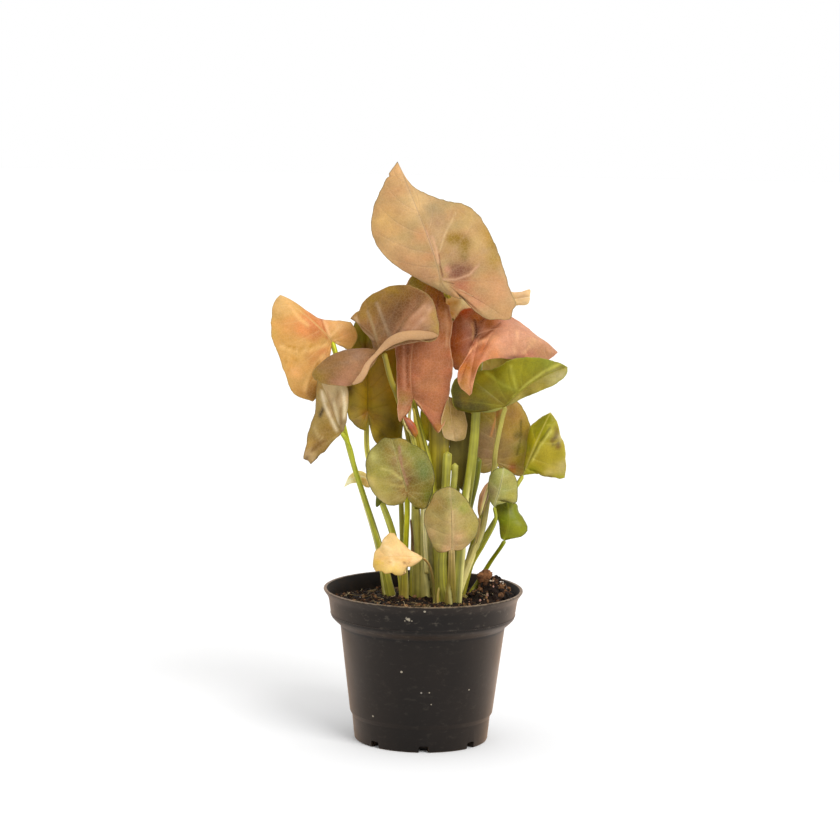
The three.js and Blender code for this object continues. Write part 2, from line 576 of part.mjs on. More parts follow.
// Height of the mix at a place: a mound on the right, a dip at the back, crumbs all over.
function soilHeight(x, y) {
  const mound = 11 * Math.exp(-(((x - 36) / 9.5) ** 2) - (y / 12) ** 2);
  const dip = 3.2 * THREE.MathUtils.smoothstep(y - 0.35 * x, 8, 48);
  const crumbs = 0.55 * Math.sin(0.83 * x + 0.4 * y) + 0.45 * Math.sin(0.37 * x - 0.91 * y + 1);
  return SOIL_LEVEL + mound - dip + crumbs;
}

function soilSolid() {
  const direction = (i) => {
    const angle = (2 * Math.PI * i) / POT_SIDES;
    return [Math.sin(angle), -Math.cos(angle)];
  };
  const ringAt = (place) => Array.from({ length: POT_SIDES }, (_, i) => place(...direction(i)));
  const wallRing = (height) => {
    const r = insideRadius(height) - FIT_GAP;
    return ringAt((dx, dy) => new THREE.Vector3(r * dx, r * dy, height));
  };
  const steps = POT_INSIDE.slice(3, -1).map(([, height]) => height).reverse();
  const rings = [FLOOR_THICKNESS + FIT_GAP, ...steps].map(wallRing);
  for (let k = SOIL_RINGS; k >= 1; k--) {
    rings.push(
      ringAt((dx, dy) => {
        const edgeHeight = Math.min(soilHeight(47 * dx, 47 * dy), COLLAR_TOP_HEIGHT);
        const r = ((insideRadius(edgeHeight) - FIT_GAP) * k) / SOIL_RINGS;
        return new THREE.Vector3(r * dx, r * dy, soilHeight(r * dx, r * dy));
      }),
    );
  }
  return solid(skinOver(rings));
}

function barkChipGeometry(extra = 0) {
  const { at, size } = BARK_CHIP;
  const chip = new THREE.IcosahedronGeometry(1, 1);
  const position = chip.attributes.position;
  for (let i = 0; i < position.count; i++) {
    const v = new THREE.Vector3().fromBufferAttribute(position, i);
    const lump = 1 + 0.16 * Math.sin(3.1 * v.x + 2 * v.y) + 0.12 * Math.sin(4.3 * v.z + v.x);
    v.multiplyScalar(lump);
    position.setXYZ(
      i,
      at[0] + v.x * (size[0] + extra),
      at[1] + v.y * (size[1] + extra),
      at[2] + v.z * (size[2] + extra) + v.x * 0.8,
    );
  }
  return chip;
}

// ---- Colours ---------------------------------------------------------------------------------
const BLADE_COLORS = {
  leaf_top: 0xd2a872, leaf_far_left: 0xe0a463, leaf_curled: 0x8a6042, leaf_drooping: 0xb4956a,
  leaf_olive: 0x6b5410, leaf_pink: 0xad6c48, leaf_salmon: 0xd99a78,
  leaf_green: 0x86802a, leaf_tan: 0x9b7d50, leaf_lime: 0xb0a22c, leaf_round: 0xa4955f,
  leaf_low_front: 0xb2996c, leaf_small_right: 0xa7a566, leaf_low_right: 0x839022,
  leaf_withered: 0xf4cf90, leaf_golden: 0xd8ae64, leaf_scrap: 0xdcae5c,
  leaf_inner: 0x7d7a16, leaf_low_left: 0x6c7a2c, leaf_back_left: 0x9a7a4a, leaf_back_right: 0x8f8a3a,
};
const STALK_COLOR = 0x96a03c;
const WITHERED_STALK_COLOR = 0xb08a52;
const YOUNG_COLORS = { leaf_unfurling: 0xcf6f58, leaf_rolled_right: 0xb98a66 };
const POT_COLOR = 0x38332f;
const SOIL_COLOR = 0x2d2113;
const BARK_COLOR = 0x7a3d22;

// ---- Assembly --------------------------------------------------------------------------------
const root = new THREE.Group();
root.name = "arrowhead_plant";

function place(name, geometry, color, roughness) {
  const mesh = new THREE.Mesh(geometry, new THREE.MeshStandardMaterial({ color, roughness }));
  mesh.name = name;
  root.add(mesh);
}

place("pot", potGeometry(), POT_COLOR, 0.45);

let soil = soilSolid().subtract(solid(barkChipGeometry(FIT_GAP)));
for (const plantlet of Object.values(PLANTLETS)) {
  soil = soil.subtract(plantletSolid(plantlet, FIT_GAP));
}
place("potting_mix", geometryOf(largest(soil)), SOIL_COLOR, 0.95);
place("bark_chip", barkChipGeometry(), BARK_COLOR, 0.9);

for (const [name, blade] of Object.entries(BLADES)) {
  const geometry = blade.flap
    ? geometryOf(bladeSolid(blade, BLADE_THICKNESS))
    : bladeGeometry(blade, BLADE_THICKNESS);
  place(name, geometry, BLADE_COLORS[name], 0.5);
}

// Each stalk's top is cut back to stand just clear of its blade.
const clearance = [
  ...Object.values(BLADES).map((blade) => bladeSolid(blade, BLADE_THICKNESS + 2 * FIT_GAP)),
  ...Object.values(ROLLED_LEAVES).map((stations) => solid(rolledLeafGeometry(stations, FIT_GAP))),
];
for (const [name, plantlet] of Object.entries(PLANTLETS)) {
  const whole = plantletSolid(plantlet);
  const cut = clearance.reduce((shape, blade) => shape.subtract(blade), whole);
  const color = name === "stalk_withered" ? WITHERED_STALK_COLOR : STALK_COLOR;
  place(name, geometryOf(largest(cut)), color, 0.5);
}

for (const [name, stations] of Object.entries(ROLLED_LEAVES)) {
  place(name, rolledLeafGeometry(stations), YOUNG_COLORS[name], 0.5);
}

export default root;
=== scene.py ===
# Arrowhead plant in a round nursery pot, dressed over its frame of solids.
# Sizes are written in millimetres and turned to metres as each piece is made.
import json
import math
import random

import bpy
import numpy as np
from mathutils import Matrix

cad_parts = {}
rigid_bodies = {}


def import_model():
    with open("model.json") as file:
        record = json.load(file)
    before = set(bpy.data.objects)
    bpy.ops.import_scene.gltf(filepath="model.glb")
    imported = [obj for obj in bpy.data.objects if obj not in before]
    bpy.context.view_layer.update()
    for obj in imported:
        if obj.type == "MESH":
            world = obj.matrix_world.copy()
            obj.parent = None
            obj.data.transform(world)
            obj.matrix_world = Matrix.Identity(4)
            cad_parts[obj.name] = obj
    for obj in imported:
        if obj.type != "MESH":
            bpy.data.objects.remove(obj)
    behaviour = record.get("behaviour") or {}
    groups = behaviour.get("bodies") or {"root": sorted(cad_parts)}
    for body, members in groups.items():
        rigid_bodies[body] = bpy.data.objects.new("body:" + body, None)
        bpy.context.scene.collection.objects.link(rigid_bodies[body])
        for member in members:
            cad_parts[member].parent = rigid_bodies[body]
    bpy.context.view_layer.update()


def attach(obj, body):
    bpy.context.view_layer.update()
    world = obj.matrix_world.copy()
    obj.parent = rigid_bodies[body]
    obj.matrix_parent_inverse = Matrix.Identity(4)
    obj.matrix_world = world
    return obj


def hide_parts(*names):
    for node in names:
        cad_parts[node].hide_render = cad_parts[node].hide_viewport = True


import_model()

# ---- Nursery pot -------------------------------------------------------------------------------
# One thin shell of black polypropylene, injection moulded: a tapered body on a shallow foot band, a
# deep collar with a flared lip, and eight drain notches cut up into the foot.
MM = 0.001
POT_SIDES = 144
POT_OUTSIDE = [
    (34.2, 0), (34.9, 0.3), (35.2, 1), (36.3, 12.2), (36.4, 12.6), (37.5, 14.7), (37.65, 15.2),
    (43.3, 60.6), (43.6, 61.1), (46.2, 63.3), (47.9, 65.1), (48.2, 65.6), (48.42, 66.6), (48.62, 66.75),
    (48.66, 67.05), (48.5, 67.25), (48.72, 68.8), (49.4, 73.5), (49.75, 75), (50.3, 76.4), (52.1, 78.9),
    (52.3, 79.3), (52.25, 79.8), (51.9, 80),
]
POT_INSIDE = [
    (51.1, 80), (50.7, 79.7), (48.9, 76.6), (48.1, 73.5), (46.9, 66), (42.1, 61.6), (36.3, 15.4),
    (35, 12.8), (33.9, 2.4), (33.1, 1.6),
]
# A notch is 5 mm wide and 3.6 mm high, and its cutter is as far below the foot as above it.
NOTCHES = 8
NOTCH_SIZE = (5, 11, 7.2)
NOTCH_CORNER = 0.8
NOTCH_FROM_AXIS = 33.7
FIRST_NOTCH_TURN = 2.5
SOFT_EDGE_ANGLE = 28
# Peat has stained the inner wall between these heights, outside this radius.
STAIN_FOOT, STAIN_TOP, STAIN_RADIUS = 2, 79.5, 30


def pick(*pieces):
    """Select these pieces alone, and make the first one active."""
    bpy.ops.object.select_all(action="DESELECT")
    for piece in pieces:
        piece.select_set(True)
    if pieces:
        bpy.context.view_layer.objects.active = pieces[0]


def turned(name, profile, sides):
    """A closed body of revolution round Z, drawn out ring by ring from (radius, height) pairs."""
    pick()
    bpy.ops.mesh.primitive_circle_add(
        vertices=sides, radius=profile[0][0] * MM, fill_type="NGON", location=(0, 0, profile[0][1] * MM)
    )
    body = bpy.context.object
    body.name = name
    bpy.ops.object.mode_set(mode="EDIT")
    for (radius, height), (next_radius, next_height) in zip(profile, profile[1:]):
        rise = (0, 0, (next_height - height) * MM)
        grow = next_radius / radius
        bpy.ops.mesh.extrude_region_move(TRANSFORM_OT_translate={"value": rise})
        bpy.ops.transform.resize(value=(grow, grow, 1), center_override=(0, 0, 0))
    bpy.ops.mesh.select_all(action="SELECT")
    bpy.ops.mesh.normals_make_consistent(inside=False)
    bpy.ops.object.mode_set(mode="OBJECT")
    bpy.ops.object.transform_apply(location=True, rotation=True, scale=True)
    return body


def linear(code):
    """The scene's linear colour of an sRGB hex value."""
    channels = [int(code[i : i + 2], 16) / 255 for i in (1, 3, 5)]
    return [c / 12.92 if c <= 0.04045 else ((c + 0.055) / 1.055) ** 2.4 for c in channels] + [1.0]


def plug(tree, made, inputs):
    """Set a node's inputs, each to a plain value or to what it is linked to: an output socket, or a
    node, which stands for its first output in use."""
    for socket, value in inputs.items():
        if isinstance(value, bpy.types.Node):
            value = next(output for output in value.outputs if output.enabled)
        if isinstance(value, bpy.types.NodeSocket):
            tree.links.new(value, made.inputs[socket])
        else:
            made.inputs[socket].default_value = value


def node(tree, kind, inputs=None, **settings):
    """Add a shader node with its settings and links."""
    made = tree.nodes.new("ShaderNode" + kind)
    for key, value in settings.items():
        setattr(made, key, value)
    plug(tree, made, inputs or {})
    return made


def new_finish(name, **plain):
    """A material with its shader's uniform sockets set, as (material, tree, shader)."""
    material = bpy.data.materials.new(name)
    material.use_nodes = True
    tree = material.node_tree
    shader = tree.nodes["Principled BSDF"]
    plug(tree, shader, {socket.replace("_", " "): value for socket, value in plain.items()})
    return material, tree, shader


# Black polypropylene, moulded satin: nearly black itself, so that what shows is a soft reflection of
# the surroundings and a film of peat dust, which turns the grazing edges brown. Lime from watering
# has dried on it in spots, and the stacking of pots has rubbed the collar.
POT_BLACK, POT_BROWN, PEAT_DUST = "#080605", "#15100d", "#e4b488"
SCUFF, SPECK, CREST_DUST_AND_HIGHLIGHT, LIME = "#8c8272", "#b5aca0", "#8f7c66", "#a99f8c"
DUST_SHEEN, SHADED_STEP_SHEEN = 0.44, 0.27
STEP_HEIGHT, STEP_HALF_HEIGHT = 63.3, 3.6
LIME_SPOTS = [
    # x, z, size
    (-7.6, 73.2, 1.9), (-5.6, 72.3, 0.7), (-9.2, 72.2, 0.6), (0.9, 77.6, 0.8), (-25, 17.5, 0.7),
    (-10.5, 43.8, 0.7), (5, 26.6, 0.6), (4, 33, 0.5), (24.5, 33, 0.6),
]


def pot_finish():
    material, tree, shader = new_finish("polypropylene_moulded_satin", IOR=1.49, Sheen_Roughness=0.4,
                                        Specular_IOR_Level=0.2, Sheen_Tint=linear(PEAT_DUST))
    # Peat dust lies in clouds 26 mm across, on a moulded grain of 2.4 mm.
    place = node(tree, "TexCoord").outputs["Object"]
    cloud = node(tree, "TexNoise", {"Vector": place, "Scale": 38, "Detail": 5})
    grain = node(tree, "TexNoise", {"Vector": place, "Scale": 420, "Detail": 3})
    shade = node(tree, "MapRange", {"Value": cloud, "From Min": 0.3, "From Max": 0.75})
    colour = node(tree, "Mix", {0: shade, 6: linear(POT_BLACK), 7: linear(POT_BROWN)}, data_type="RGBA")
    # Scuffs lie level, in broken smears of a few millimetres, and most are on the collar.
    drawn = node(tree, "Mapping", {"Vector": place, "Scale": (210, 210, 430)})
    smear = node(tree, "TexNoise", {"Vector": drawn, "Scale": 1, "Detail": 4, "Roughness": 0.7})
    height = node(tree, "SeparateXYZ", {"Vector": place}).outputs["Z"]
    upper = node(tree, "MapRange", {"Value": height, "From Min": 0.055, "From Max": 0.068, "To Min": 0.25})
    # The step under the collar faces down; its sheen is turned down there so that it reads darker, as
    # painted shade.
    step = node(tree, "Math", {0: height, 1: STEP_HEIGHT * MM, 2: STEP_HALF_HEIGHT * MM},
                operation="COMPARE")
    sheen = node(tree, "MapRange", {"Value": step, "To Min": DUST_SHEEN, "To Max": SHADED_STEP_SHEEN})
    worn = node(tree, "MapRange", {"Value": smear, "From Min": 0.56, "From Max": 0.85, "To Max": 0.3})
    scuff = node(tree, "Math", {0: upper, 1: worn}, operation="MULTIPLY")
    colour = node(tree, "Mix", {0: scuff, 6: colour, 7: linear(SCUFF)}, data_type="RGBA")
    # Dust specks of just under 1 mm sit in one in ten cells of a 7 mm pattern.
    speck = node(tree, "TexVoronoi", {"Vector": place, "Scale": 140, "Randomness": 1})
    chance = node(tree, "SeparateColor", {"Color": speck.outputs["Color"]})
    some = node(tree, "Math", {0: chance, 1: 0.9}, operation="GREATER_THAN")
    dot = node(tree, "MapRange", {"Value": speck, "From Min": 0.09, "From Max": 0.03, "To Max": 0.6})
    dust = node(tree, "Math", {0: some, 1: dot}, operation="MULTIPLY")
    colour = node(tree, "Mix", {0: dust, 6: colour, 7: linear(SPECK)}, data_type="RGBA")
    # The rim's crest has a thin broken pale line: dust, and a painted highlight along the lip.
    crest = node(tree, "MapRange", {"Value": height, "From Min": 0.0793, "From Max": 0.0799,
                                    "To Max": 0.55})
    broken = node(tree, "MapRange", {"Value": grain, "From Min": 0.4, "From Max": 0.6, "To Min": 0.3})
    crest_dust_and_highlight = node(tree, "Math", {0: crest, 1: broken}, operation="MULTIPLY")
    colour = node(tree, "Mix", {0: crest_dust_and_highlight, 6: colour, 7: linear(CREST_DUST_AND_HIGHLIGHT)}, data_type="RGBA")
    # Lime spots, each at its own place on the front wall. The largest is a small splash.
    for x, z, size in LIME_SPOTS:
        wall = 36 + z * 0.11 if z < 62 else 50  # the body tapers, and the collar is nearly straight
        centre = (x * MM, -math.sqrt(wall**2 - x * x) * MM, z * MM)
        spot = node(tree, "VectorMath", {0: place, 1: centre}, operation="SUBTRACT")
        flat = node(tree, "VectorMath", {0: spot, 1: (1, 0.1, 1)}, operation="MULTIPLY")
        away = node(tree, "VectorMath", {0: flat}, operation="LENGTH")
        ragged = node(tree, "Math", {0: grain, 1: -1.9 * size * MM, 2: away}, operation="MULTIPLY_ADD")
        mask = node(tree, "MapRange", {"Value": ragged, "From Min": -0.2 * size * MM,
                                       "From Max": -0.45 * size * MM, "To Max": 0.75})
        colour = node(tree, "Mix", {0: mask, 6: colour, 7: linear(LIME)}, data_type="RGBA")
    rough = node(tree, "MapRange", {"Value": cloud, "From Min": 0.3, "From Max": 0.7, "To Min": 0.36,
                                    "To Max": 0.52})
    bump = node(tree, "Bump", {"Strength": 0.25, "Distance": 0.0001, "Height": grain})
    plug(tree, shader, {"Base Color": colour, "Roughness": rough, "Normal": bump, "Sheen Weight": sheen})
    return material


# The same shell inside, where wet peat has stained it matt and nearly black, in blots of 6 mm.
def stained_finish():
    material, tree, shader = new_finish("polypropylene_peat_stained", IOR=1.49, Specular_IOR_Level=0.12)
    place = node(tree, "TexCoord").outputs["Object"]
    cloud = node(tree, "TexNoise", {"Vector": place, "Scale": 160, "Detail": 5})
    tone = node(tree, "MapRange", {"Value": cloud, "From Min": 0.35, "From Max": 0.7})
    colour = node(tree, "Mix", {0: tone, 6: linear("#15100b"), 7: linear("#2c2219")}, data_type="RGBA")
    rough = node(tree, "MapRange", {"Value": cloud, "From Min": 0.3, "From Max": 0.7, "To Min": 0.55,
                                    "To Max": 0.75})
    plug(tree, shader, {"Base Color": colour, "Roughness": rough})
    return material


pot = turned("nursery_pot", POT_OUTSIDE + POT_INSIDE, POT_SIDES)
notches = []
for k in range(NOTCHES):
    turn = math.radians(360 / NOTCHES * k + FIRST_NOTCH_TURN)
    bpy.ops.mesh.primitive_cube_add(size=1, scale=[size * MM for size in NOTCH_SIZE])
    notch = bpy.context.object
    bpy.ops.object.transform_apply(location=False, rotation=False, scale=True)
    bpy.ops.object.modifier_add(type="BEVEL")
    notch.modifiers[-1].width = NOTCH_CORNER * MM
    notch.modifiers[-1].segments = 3
    bpy.ops.object.modifier_apply(modifier=notch.modifiers[-1].name)
    away = NOTCH_FROM_AXIS * MM
    notch.location = (away * math.sin(turn), -away * math.cos(turn), 0)
    notch.rotation_euler = (0, 0, turn)
    notches.append(notch)
pick(*notches)
bpy.ops.object.join()
cutter = bpy.context.object
pick(pot)
bpy.ops.object.modifier_add(type="BOOLEAN")
pot.modifiers[-1].operation = "DIFFERENCE"
pot.modifiers[-1].object = cutter
bpy.ops.object.modifier_apply(modifier=pot.modifiers[-1].name)
bpy.data.objects.remove(cutter)
bpy.ops.object.shade_smooth_by_angle(angle=math.radians(SOFT_EDGE_ANGLE))
pot.data.materials.clear()
pot.data.materials.append(pot_finish())
pot.data.materials.append(stained_finish())
for face in pot.data.polygons:
    x, y, z = face.center / MM
    inward = face.normal.x * x + face.normal.y * y < 0
    if inward and STAIN_FOOT < z < STAIN_TOP and math.hypot(x, y) > STAIN_RADIUS:
        face.material_index = 1
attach(pot, "root")
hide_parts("pot")

# ---- Potting mix -------------------------------------------------------------------------------
# Damp dark peat, filled to just under the rim and heaped against the right side. Crumbs, fibres and
# a little pale grit lie loose on top.
SOIL_LEVEL = 74.5
SOIL_RINGS = 60
SOIL_SIDES = 180
SOIL_RADIUS = 47.4
SOIL_STACK = 72
HEAP, HEAP_HEIGHT, HEAP_SPREAD = (36, 0), 11, (9.5, 12)
# The collar's inside: its radius at its foot, the heights of its foot and top, and its slope.
COLLAR_RADIUS, COLLAR_FOOT, COLLAR_TOP, COLLAR_SLOPE = 46.9, 66, 73.5, 0.16
WALL_GAP = 0.35
dice = random.Random(11)


def smoothstep(value, low, high):
    t = np.clip((value - low) / (high - low), 0, 1)
    return t * t * (3 - 2 * t)


def ripple(points, size, seed):
    """Gentle waves over a set of places, between -1 and 1, with crests about size apart."""
    draw = np.random.default_rng(seed)
    total = 0
    for _ in range(5):
        heading = draw.normal(size=3)
        heading *= draw.uniform(0.6, 1.5) * 2 * math.pi / size / np.linalg.norm(heading)
        total = total + np.sin(points @ heading + draw.uniform(0, 2 * math.pi))
    return total / 3


def soil_height(x, y):
    aside, deep = (x - HEAP[0]) / HEAP_SPREAD[0], (y - HEAP[1]) / HEAP_SPREAD[1]
    mound = HEAP_HEIGHT * np.exp(-(aside**2) - deep**2)
    dip = 3.2 * smoothstep(y - 0.35 * x, 8, 48)
    crumbs = 0.55 * np.sin(0.83 * x + 0.4 * y) + 0.45 * np.sin(0.37 * x - 0.91 * y + 1)
    return SOIL_LEVEL + mound - dip + crumbs


def soil_edge(x, y):
    """How far out the mix reaches in a direction: up to the wall at the height that it stands there."""
    away = np.hypot(x, y) + 1e-9
    height = np.minimum(soil_height(47 * x / away, 47 * y / away), COLLAR_TOP)
    return COLLAR_RADIUS + (height - COLLAR_FOOT) * COLLAR_SLOPE - WALL_GAP


# The bed is turned with a tall stack of rings on top, which are then laid out flat as its surface.
soil_profile = [(33, 2), (34.6, 12.8), (35.9, 15.4), (41.7, 61.6), (46.5, 66), (47.2, 71)]
soil_profile += [(SOIL_RADIUS * (1 - k / SOIL_RINGS), SOIL_STACK + k) for k in range(SOIL_RINGS)]
soil = turned("potting_mix_bed", soil_profile, SOIL_SIDES)
spots = np.empty(len(soil.data.vertices) * 3)
soil.data.vertices.foreach_get("co", spots)
spots = spots.reshape(-1, 3) / MM
top = spots[:, 2] > SOIL_STACK - 0.5
x, y = spots[top, 0], spots[top, 1]
outward = np.hypot(x, y) / SOIL_RADIUS
reach = soil_edge(x, y) * outward
x, y = x / (np.hypot(x, y) + 1e-9) * reach, y / (np.hypot(x, y) + 1e-9) * reach
flat = np.column_stack([x, y, 0 * x])
lumps = 0.45 * ripple(flat, 5, 1) + 0.3 * ripple(flat, 2.4, 2) + 0.2 * ripple(flat, 1.3, 3)
spots[top] = np.column_stack([x, y, soil_height(x, y) + lumps])
soil.data.vertices.foreach_set("co", (spots * MM).ravel())
soil.data.update()
bpy.ops.object.shade_smooth()


# Peat, dug and milled: matt dark brown clods of 2.6 mm. The hollows between them are painted near black:
# damp, and painted shade.
def peat_finish():
    material, tree, shader = new_finish("peat_milled_damp", Roughness=0.85, IOR=1.4,
                                        Specular_IOR_Level=0.35)
    place = node(tree, "TexCoord").outputs["Object"]
    clod = node(tree, "TexNoise", {"Vector": place, "Scale": 380, "Detail": 5, "Roughness": 0.65})
    tone = node(tree, "Attribute", attribute_name="tint")
    # The colour follows the clods' height, so the hollows come out darker: painted shade.
    shade = node(tree, "MapRange", {"Value": clod, "From Min": 0.35, "From Max": 0.7, "To Min": 0.35,
                                    "To Max": 1.5})
    colour = node(tree, "VectorMath", {0: tone, 3: shade}, operation="SCALE")
    bump = node(tree, "Bump", {"Strength": 0.8, "Distance": 0.0006, "Height": clod})
    plug(tree, shader, {"Base Color": colour, "Normal": bump})
    return material


def set_tint(piece, colours):
    """Store one linear colour a vertex, which the piece's finish reads."""
    store = piece.data.color_attributes.new("tint", "FLOAT_COLOR", "POINT")
    rgba = np.ones((len(piece.data.vertices), 4))
    rgba[:, :3] = colours
    store.data.foreach_set("color", rgba.ravel())


peat = peat_finish()
set_tint(soil, linear("#1e1209")[:3])
soil.data.materials.append(peat)
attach(soil, "root")
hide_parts("potting_mix")


def scatter(name, pattern, copies):
    """One mesh of many copies of a small pattern piece: each is (turn matrix, place, colour)."""
    corners = np.array([v.co for v in pattern.data.vertices])
    faces = [tuple(p.vertices) for p in pattern.data.polygons]
    points, skins, tints = [], [], []
    for matrix, where, colour in copies:
        base = len(points) * len(corners)
        points.append(corners @ np.array(matrix).T + np.array(where))
        skins += [tuple(base + i for i in face) for face in faces]
        tints += [linear(colour)[:3]] * len(corners)
    mesh = bpy.data.meshes.new(name)
    mesh.from_pydata((np.vstack(points) * MM).tolist(), [], skins)
    piece = bpy.data.objects.new(name, mesh)
    bpy.context.collection.objects.link(piece)
    set_tint(piece, np.array(tints))
    piece.data.materials.append(peat)
    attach(piece, "root")


def random_turn(sizes):
    """A random rotation, after a stretch to the three sizes."""
    turn, _ = np.linalg.qr(np.array([[dice.gauss(0, 1) for _ in range(3)] for _ in range(3)]))
    turn *= np.sign(np.linalg.det(turn))
    return turn * np.array(sizes)


def on_soil(x, y, lift):
    return (x, y, float(soil_height(np.array(x), np.array(y))) + lift)


def random_place(inset):
    """A place anywhere on the mix, at least inset from the pot's wall."""
    angle = dice.uniform(0, 2 * math.pi)
    away = math.sqrt(dice.random())
    x, y = math.cos(angle), math.sin(angle)
    reach = (float(soil_edge(np.array(x), np.array(y))) - inset) * away
    return x * reach, y * reach


pick()
bpy.ops.mesh.primitive_ico_sphere_add(subdivisions=1, radius=1)
crumb = bpy.context.object
for vertex in crumb.data.vertices:
    vertex.co *= dice.uniform(0.65, 1.25)
PEAT_COLOURS = ["#140b05", "#22130a", "#4a2e18", "#6a482b", "#331d0e", "#86623f"]
CRUMBS, CLODS = 1500, 170
LOOSE_REACH = 45.5
crumbs = []
for _ in range(CRUMBS):
    size = 0.35 + 1.3 * dice.random() ** 2.2
    x, y = random_place(size + 0.3)
    shape = random_turn([size, size * dice.uniform(0.6, 1), size * dice.uniform(0.4, 0.9)])
    crumbs.append((shape, on_soil(x, y, 0.25 * size), dice.choice(PEAT_COLOURS)))
for _ in range(CLODS):
    # Larger damp clods make up the heap on the right.
    x, y = dice.gauss(36, 5.5), dice.gauss(1, 7)
    if math.hypot(x, y) < LOOSE_REACH:
        size = dice.uniform(0.8, 2.1)
        shape = random_turn([size, size * dice.uniform(0.6, 1), size * dice.uniform(0.5, 0.9)])
        crumbs.append((shape, on_soil(x, y, 0.2), dice.choice(PEAT_COLOURS[:4])))
scatter("peat_crumbs", crumb, crumbs)
GRIT_COLOURS = ["#c4b49c", "#a88a72", "#d9cfc2", "#b98c7c", "#8f755a"]
FINE_GRIT, COARSE_GRIT = 46, 20
grit = []
for _ in range(FINE_GRIT):
    x, y = random_place(1.5)
    size = dice.uniform(0.22, 0.6)
    shape = random_turn([size, size * 0.8, size * 0.7])
    grit.append((shape, on_soil(x, y, 0.4), dice.choice(GRIT_COLOURS)))
for _ in range(COARSE_GRIT):
    # Coarser grit lies on the front of the heap.
    x, y = dice.gauss(38, 4.5), dice.gauss(-4, 5)
    if math.hypot(x, y) < LOOSE_REACH:
        size = dice.uniform(0.3, 1.1)
        shape = random_turn([size, size * 0.8, size * 0.7])
        grit.append((shape, on_soil(x, y, 1.3), dice.choice(GRIT_COLOURS)))
scatter("pale_grit", crumb, grit)

# A fibre is a thin three-sided strand, bent as it lies.
FIBRES = 420
FIBRE_LENGTH, FIBRE_RADIUS = 8, 0.13
pick()
bpy.ops.mesh.primitive_cylinder_add(
    vertices=3, radius=FIBRE_RADIUS, depth=FIBRE_LENGTH, end_fill_type="TRIFAN"
)
fibre = bpy.context.object
bpy.ops.object.mode_set(mode="EDIT")
bpy.ops.mesh.select_all(action="DESELECT")
bpy.ops.mesh.select_mode(type="EDGE")
bpy.ops.object.mode_set(mode="OBJECT")
for edge in fibre.data.edges:
    a, b = (fibre.data.vertices[i].co for i in edge.vertices)
    edge.select = abs(a.z - b.z) > 1
bpy.ops.object.mode_set(mode="EDIT")
bpy.ops.mesh.subdivide(number_cuts=5)
bpy.ops.object.mode_set(mode="OBJECT")
for vertex in fibre.data.vertices:
    vertex.co.x += 0.9 * math.sin(vertex.co.z * 0.55) + 0.02 * vertex.co.z**2
FIBRE_COLOURS = ["#7a6240", "#9a8458", "#4a3622", "#c2ae84", "#66502f"]
FIBRE_REACH = 45
fibres = []
for _ in range(FIBRES):
    x, y = random_place(3)
    if x > 25 and dice.random() < 0.6:
        continue  # few lie on the heap
    heading = dice.uniform(0, math.pi)
    length = dice.uniform(0.25, 1)
    up = dice.gauss(0, 0.16)
    axis = np.array([math.cos(heading), math.sin(heading), up])
    axis /= np.linalg.norm(axis)
    side = np.cross(axis, [0, 0, 1])
    side /= np.linalg.norm(side)
    shape = np.column_stack([side * length, np.cross(axis, side), axis * length])
    half_length = FIBRE_LENGTH / 2 * length
    if math.hypot(x, y) + half_length > FIBRE_REACH:
        inwards = (FIBRE_REACH - half_length) / math.hypot(x, y)
        x, y = x * inwards, y * inwards
    fibres.append((shape, on_soil(x, y, 0.5 + 2 * abs(up)), dice.choice(FIBRE_COLOURS)))
scatter("peat_fibres", fibre, fibres)
for pattern in (crumb, fibre):
    bpy.data.objects.remove(pattern)

# ---- Bark chip ---------------------------------------------------------------------------------
# A rough lump of reddish pine bark that rests on the heap, torn along its layers.
CHIP_RADII = (3.9, 3.1, 3.7)
CHIP_PLACE = (31.7, -1, 87)
CHIP_TILT = (0, 0, 0.8)
pick()
bpy.ops.mesh.primitive_ico_sphere_add(subdivisions=5, radius=1)
chip = bpy.context.object
chip.name = "bark_lump"
spots = np.array([v.co for v in chip.data.vertices])
x, y, z = spots.T
lump = 1 + 0.16 * np.sin(3.1 * x + 2 * y) + 0.12 * np.sin(4.3 * z + x)
layers = 0.05 * np.sin(26 * (z + 0.25 * x) + 2 * ripple(spots, 0.8, 5))
rough = 0.05 * ripple(spots, 0.45, 6) + 0.03 * ripple(spots, 0.2, 7)
spots *= (lump + layers + rough - 0.04)[:, None]
spots = spots * CHIP_RADII + CHIP_PLACE + np.outer(spots[:, 0], CHIP_TILT)
chip.data.vertices.foreach_set("co", (spots * MM).ravel())
bpy.ops.object.shade_smooth()


# Pine bark, torn and weathered: matt rust brown with darker cracks, grained at 2 mm.
def bark_finish():
    material, tree, shader = new_finish("pine_bark_torn", Roughness=0.88, IOR=1.45)
    place = node(tree, "TexCoord").outputs["Object"]
    grain = node(tree, "TexNoise", {"Vector": place, "Scale": 500, "Detail": 5, "Roughness": 0.6})
    tone = node(tree, "MapRange", {"Value": grain, "From Min": 0.3, "From Max": 0.7})
    colour = node(tree, "Mix", {0: tone, 6: linear("#43240f"), 7: linear("#94623a")}, data_type="RGBA")
    bump = node(tree, "Bump", {"Strength": 0.7, "Distance": 0.0004, "Height": grain})
    plug(tree, shader, {"Base Color": colour, "Normal": bump})
    return material


chip.data.materials.append(bark_finish())
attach(chip, "root")
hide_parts("bark_chip")

# ---- Leaf stalks -------------------------------------------------------------------------------
# Each plantlet is a short stem and the stalks that rise from it: juicy yellow-green petioles, whose
# feet widen into pale rolled sheaths. A stalk marked cut bears no leaf: it is a trimmed petiole, or a
# flat strip of torn old sheath.
PLANT_LEAN = -1
LEAN_HEIGHT = 59
STALK_DEPTH = 0.78
STALK_SIDES = 24
SPAN_STEPS = 24
LIGHT_TAKEN_OUT = (0.86, 0.83, 0.77)
HAZE_TAKEN_OUT = (0.01, 0.01, 0.016)
SHEATH_MARGIN, SHEATH_SHADE = "#e2db92", "#4c4412"
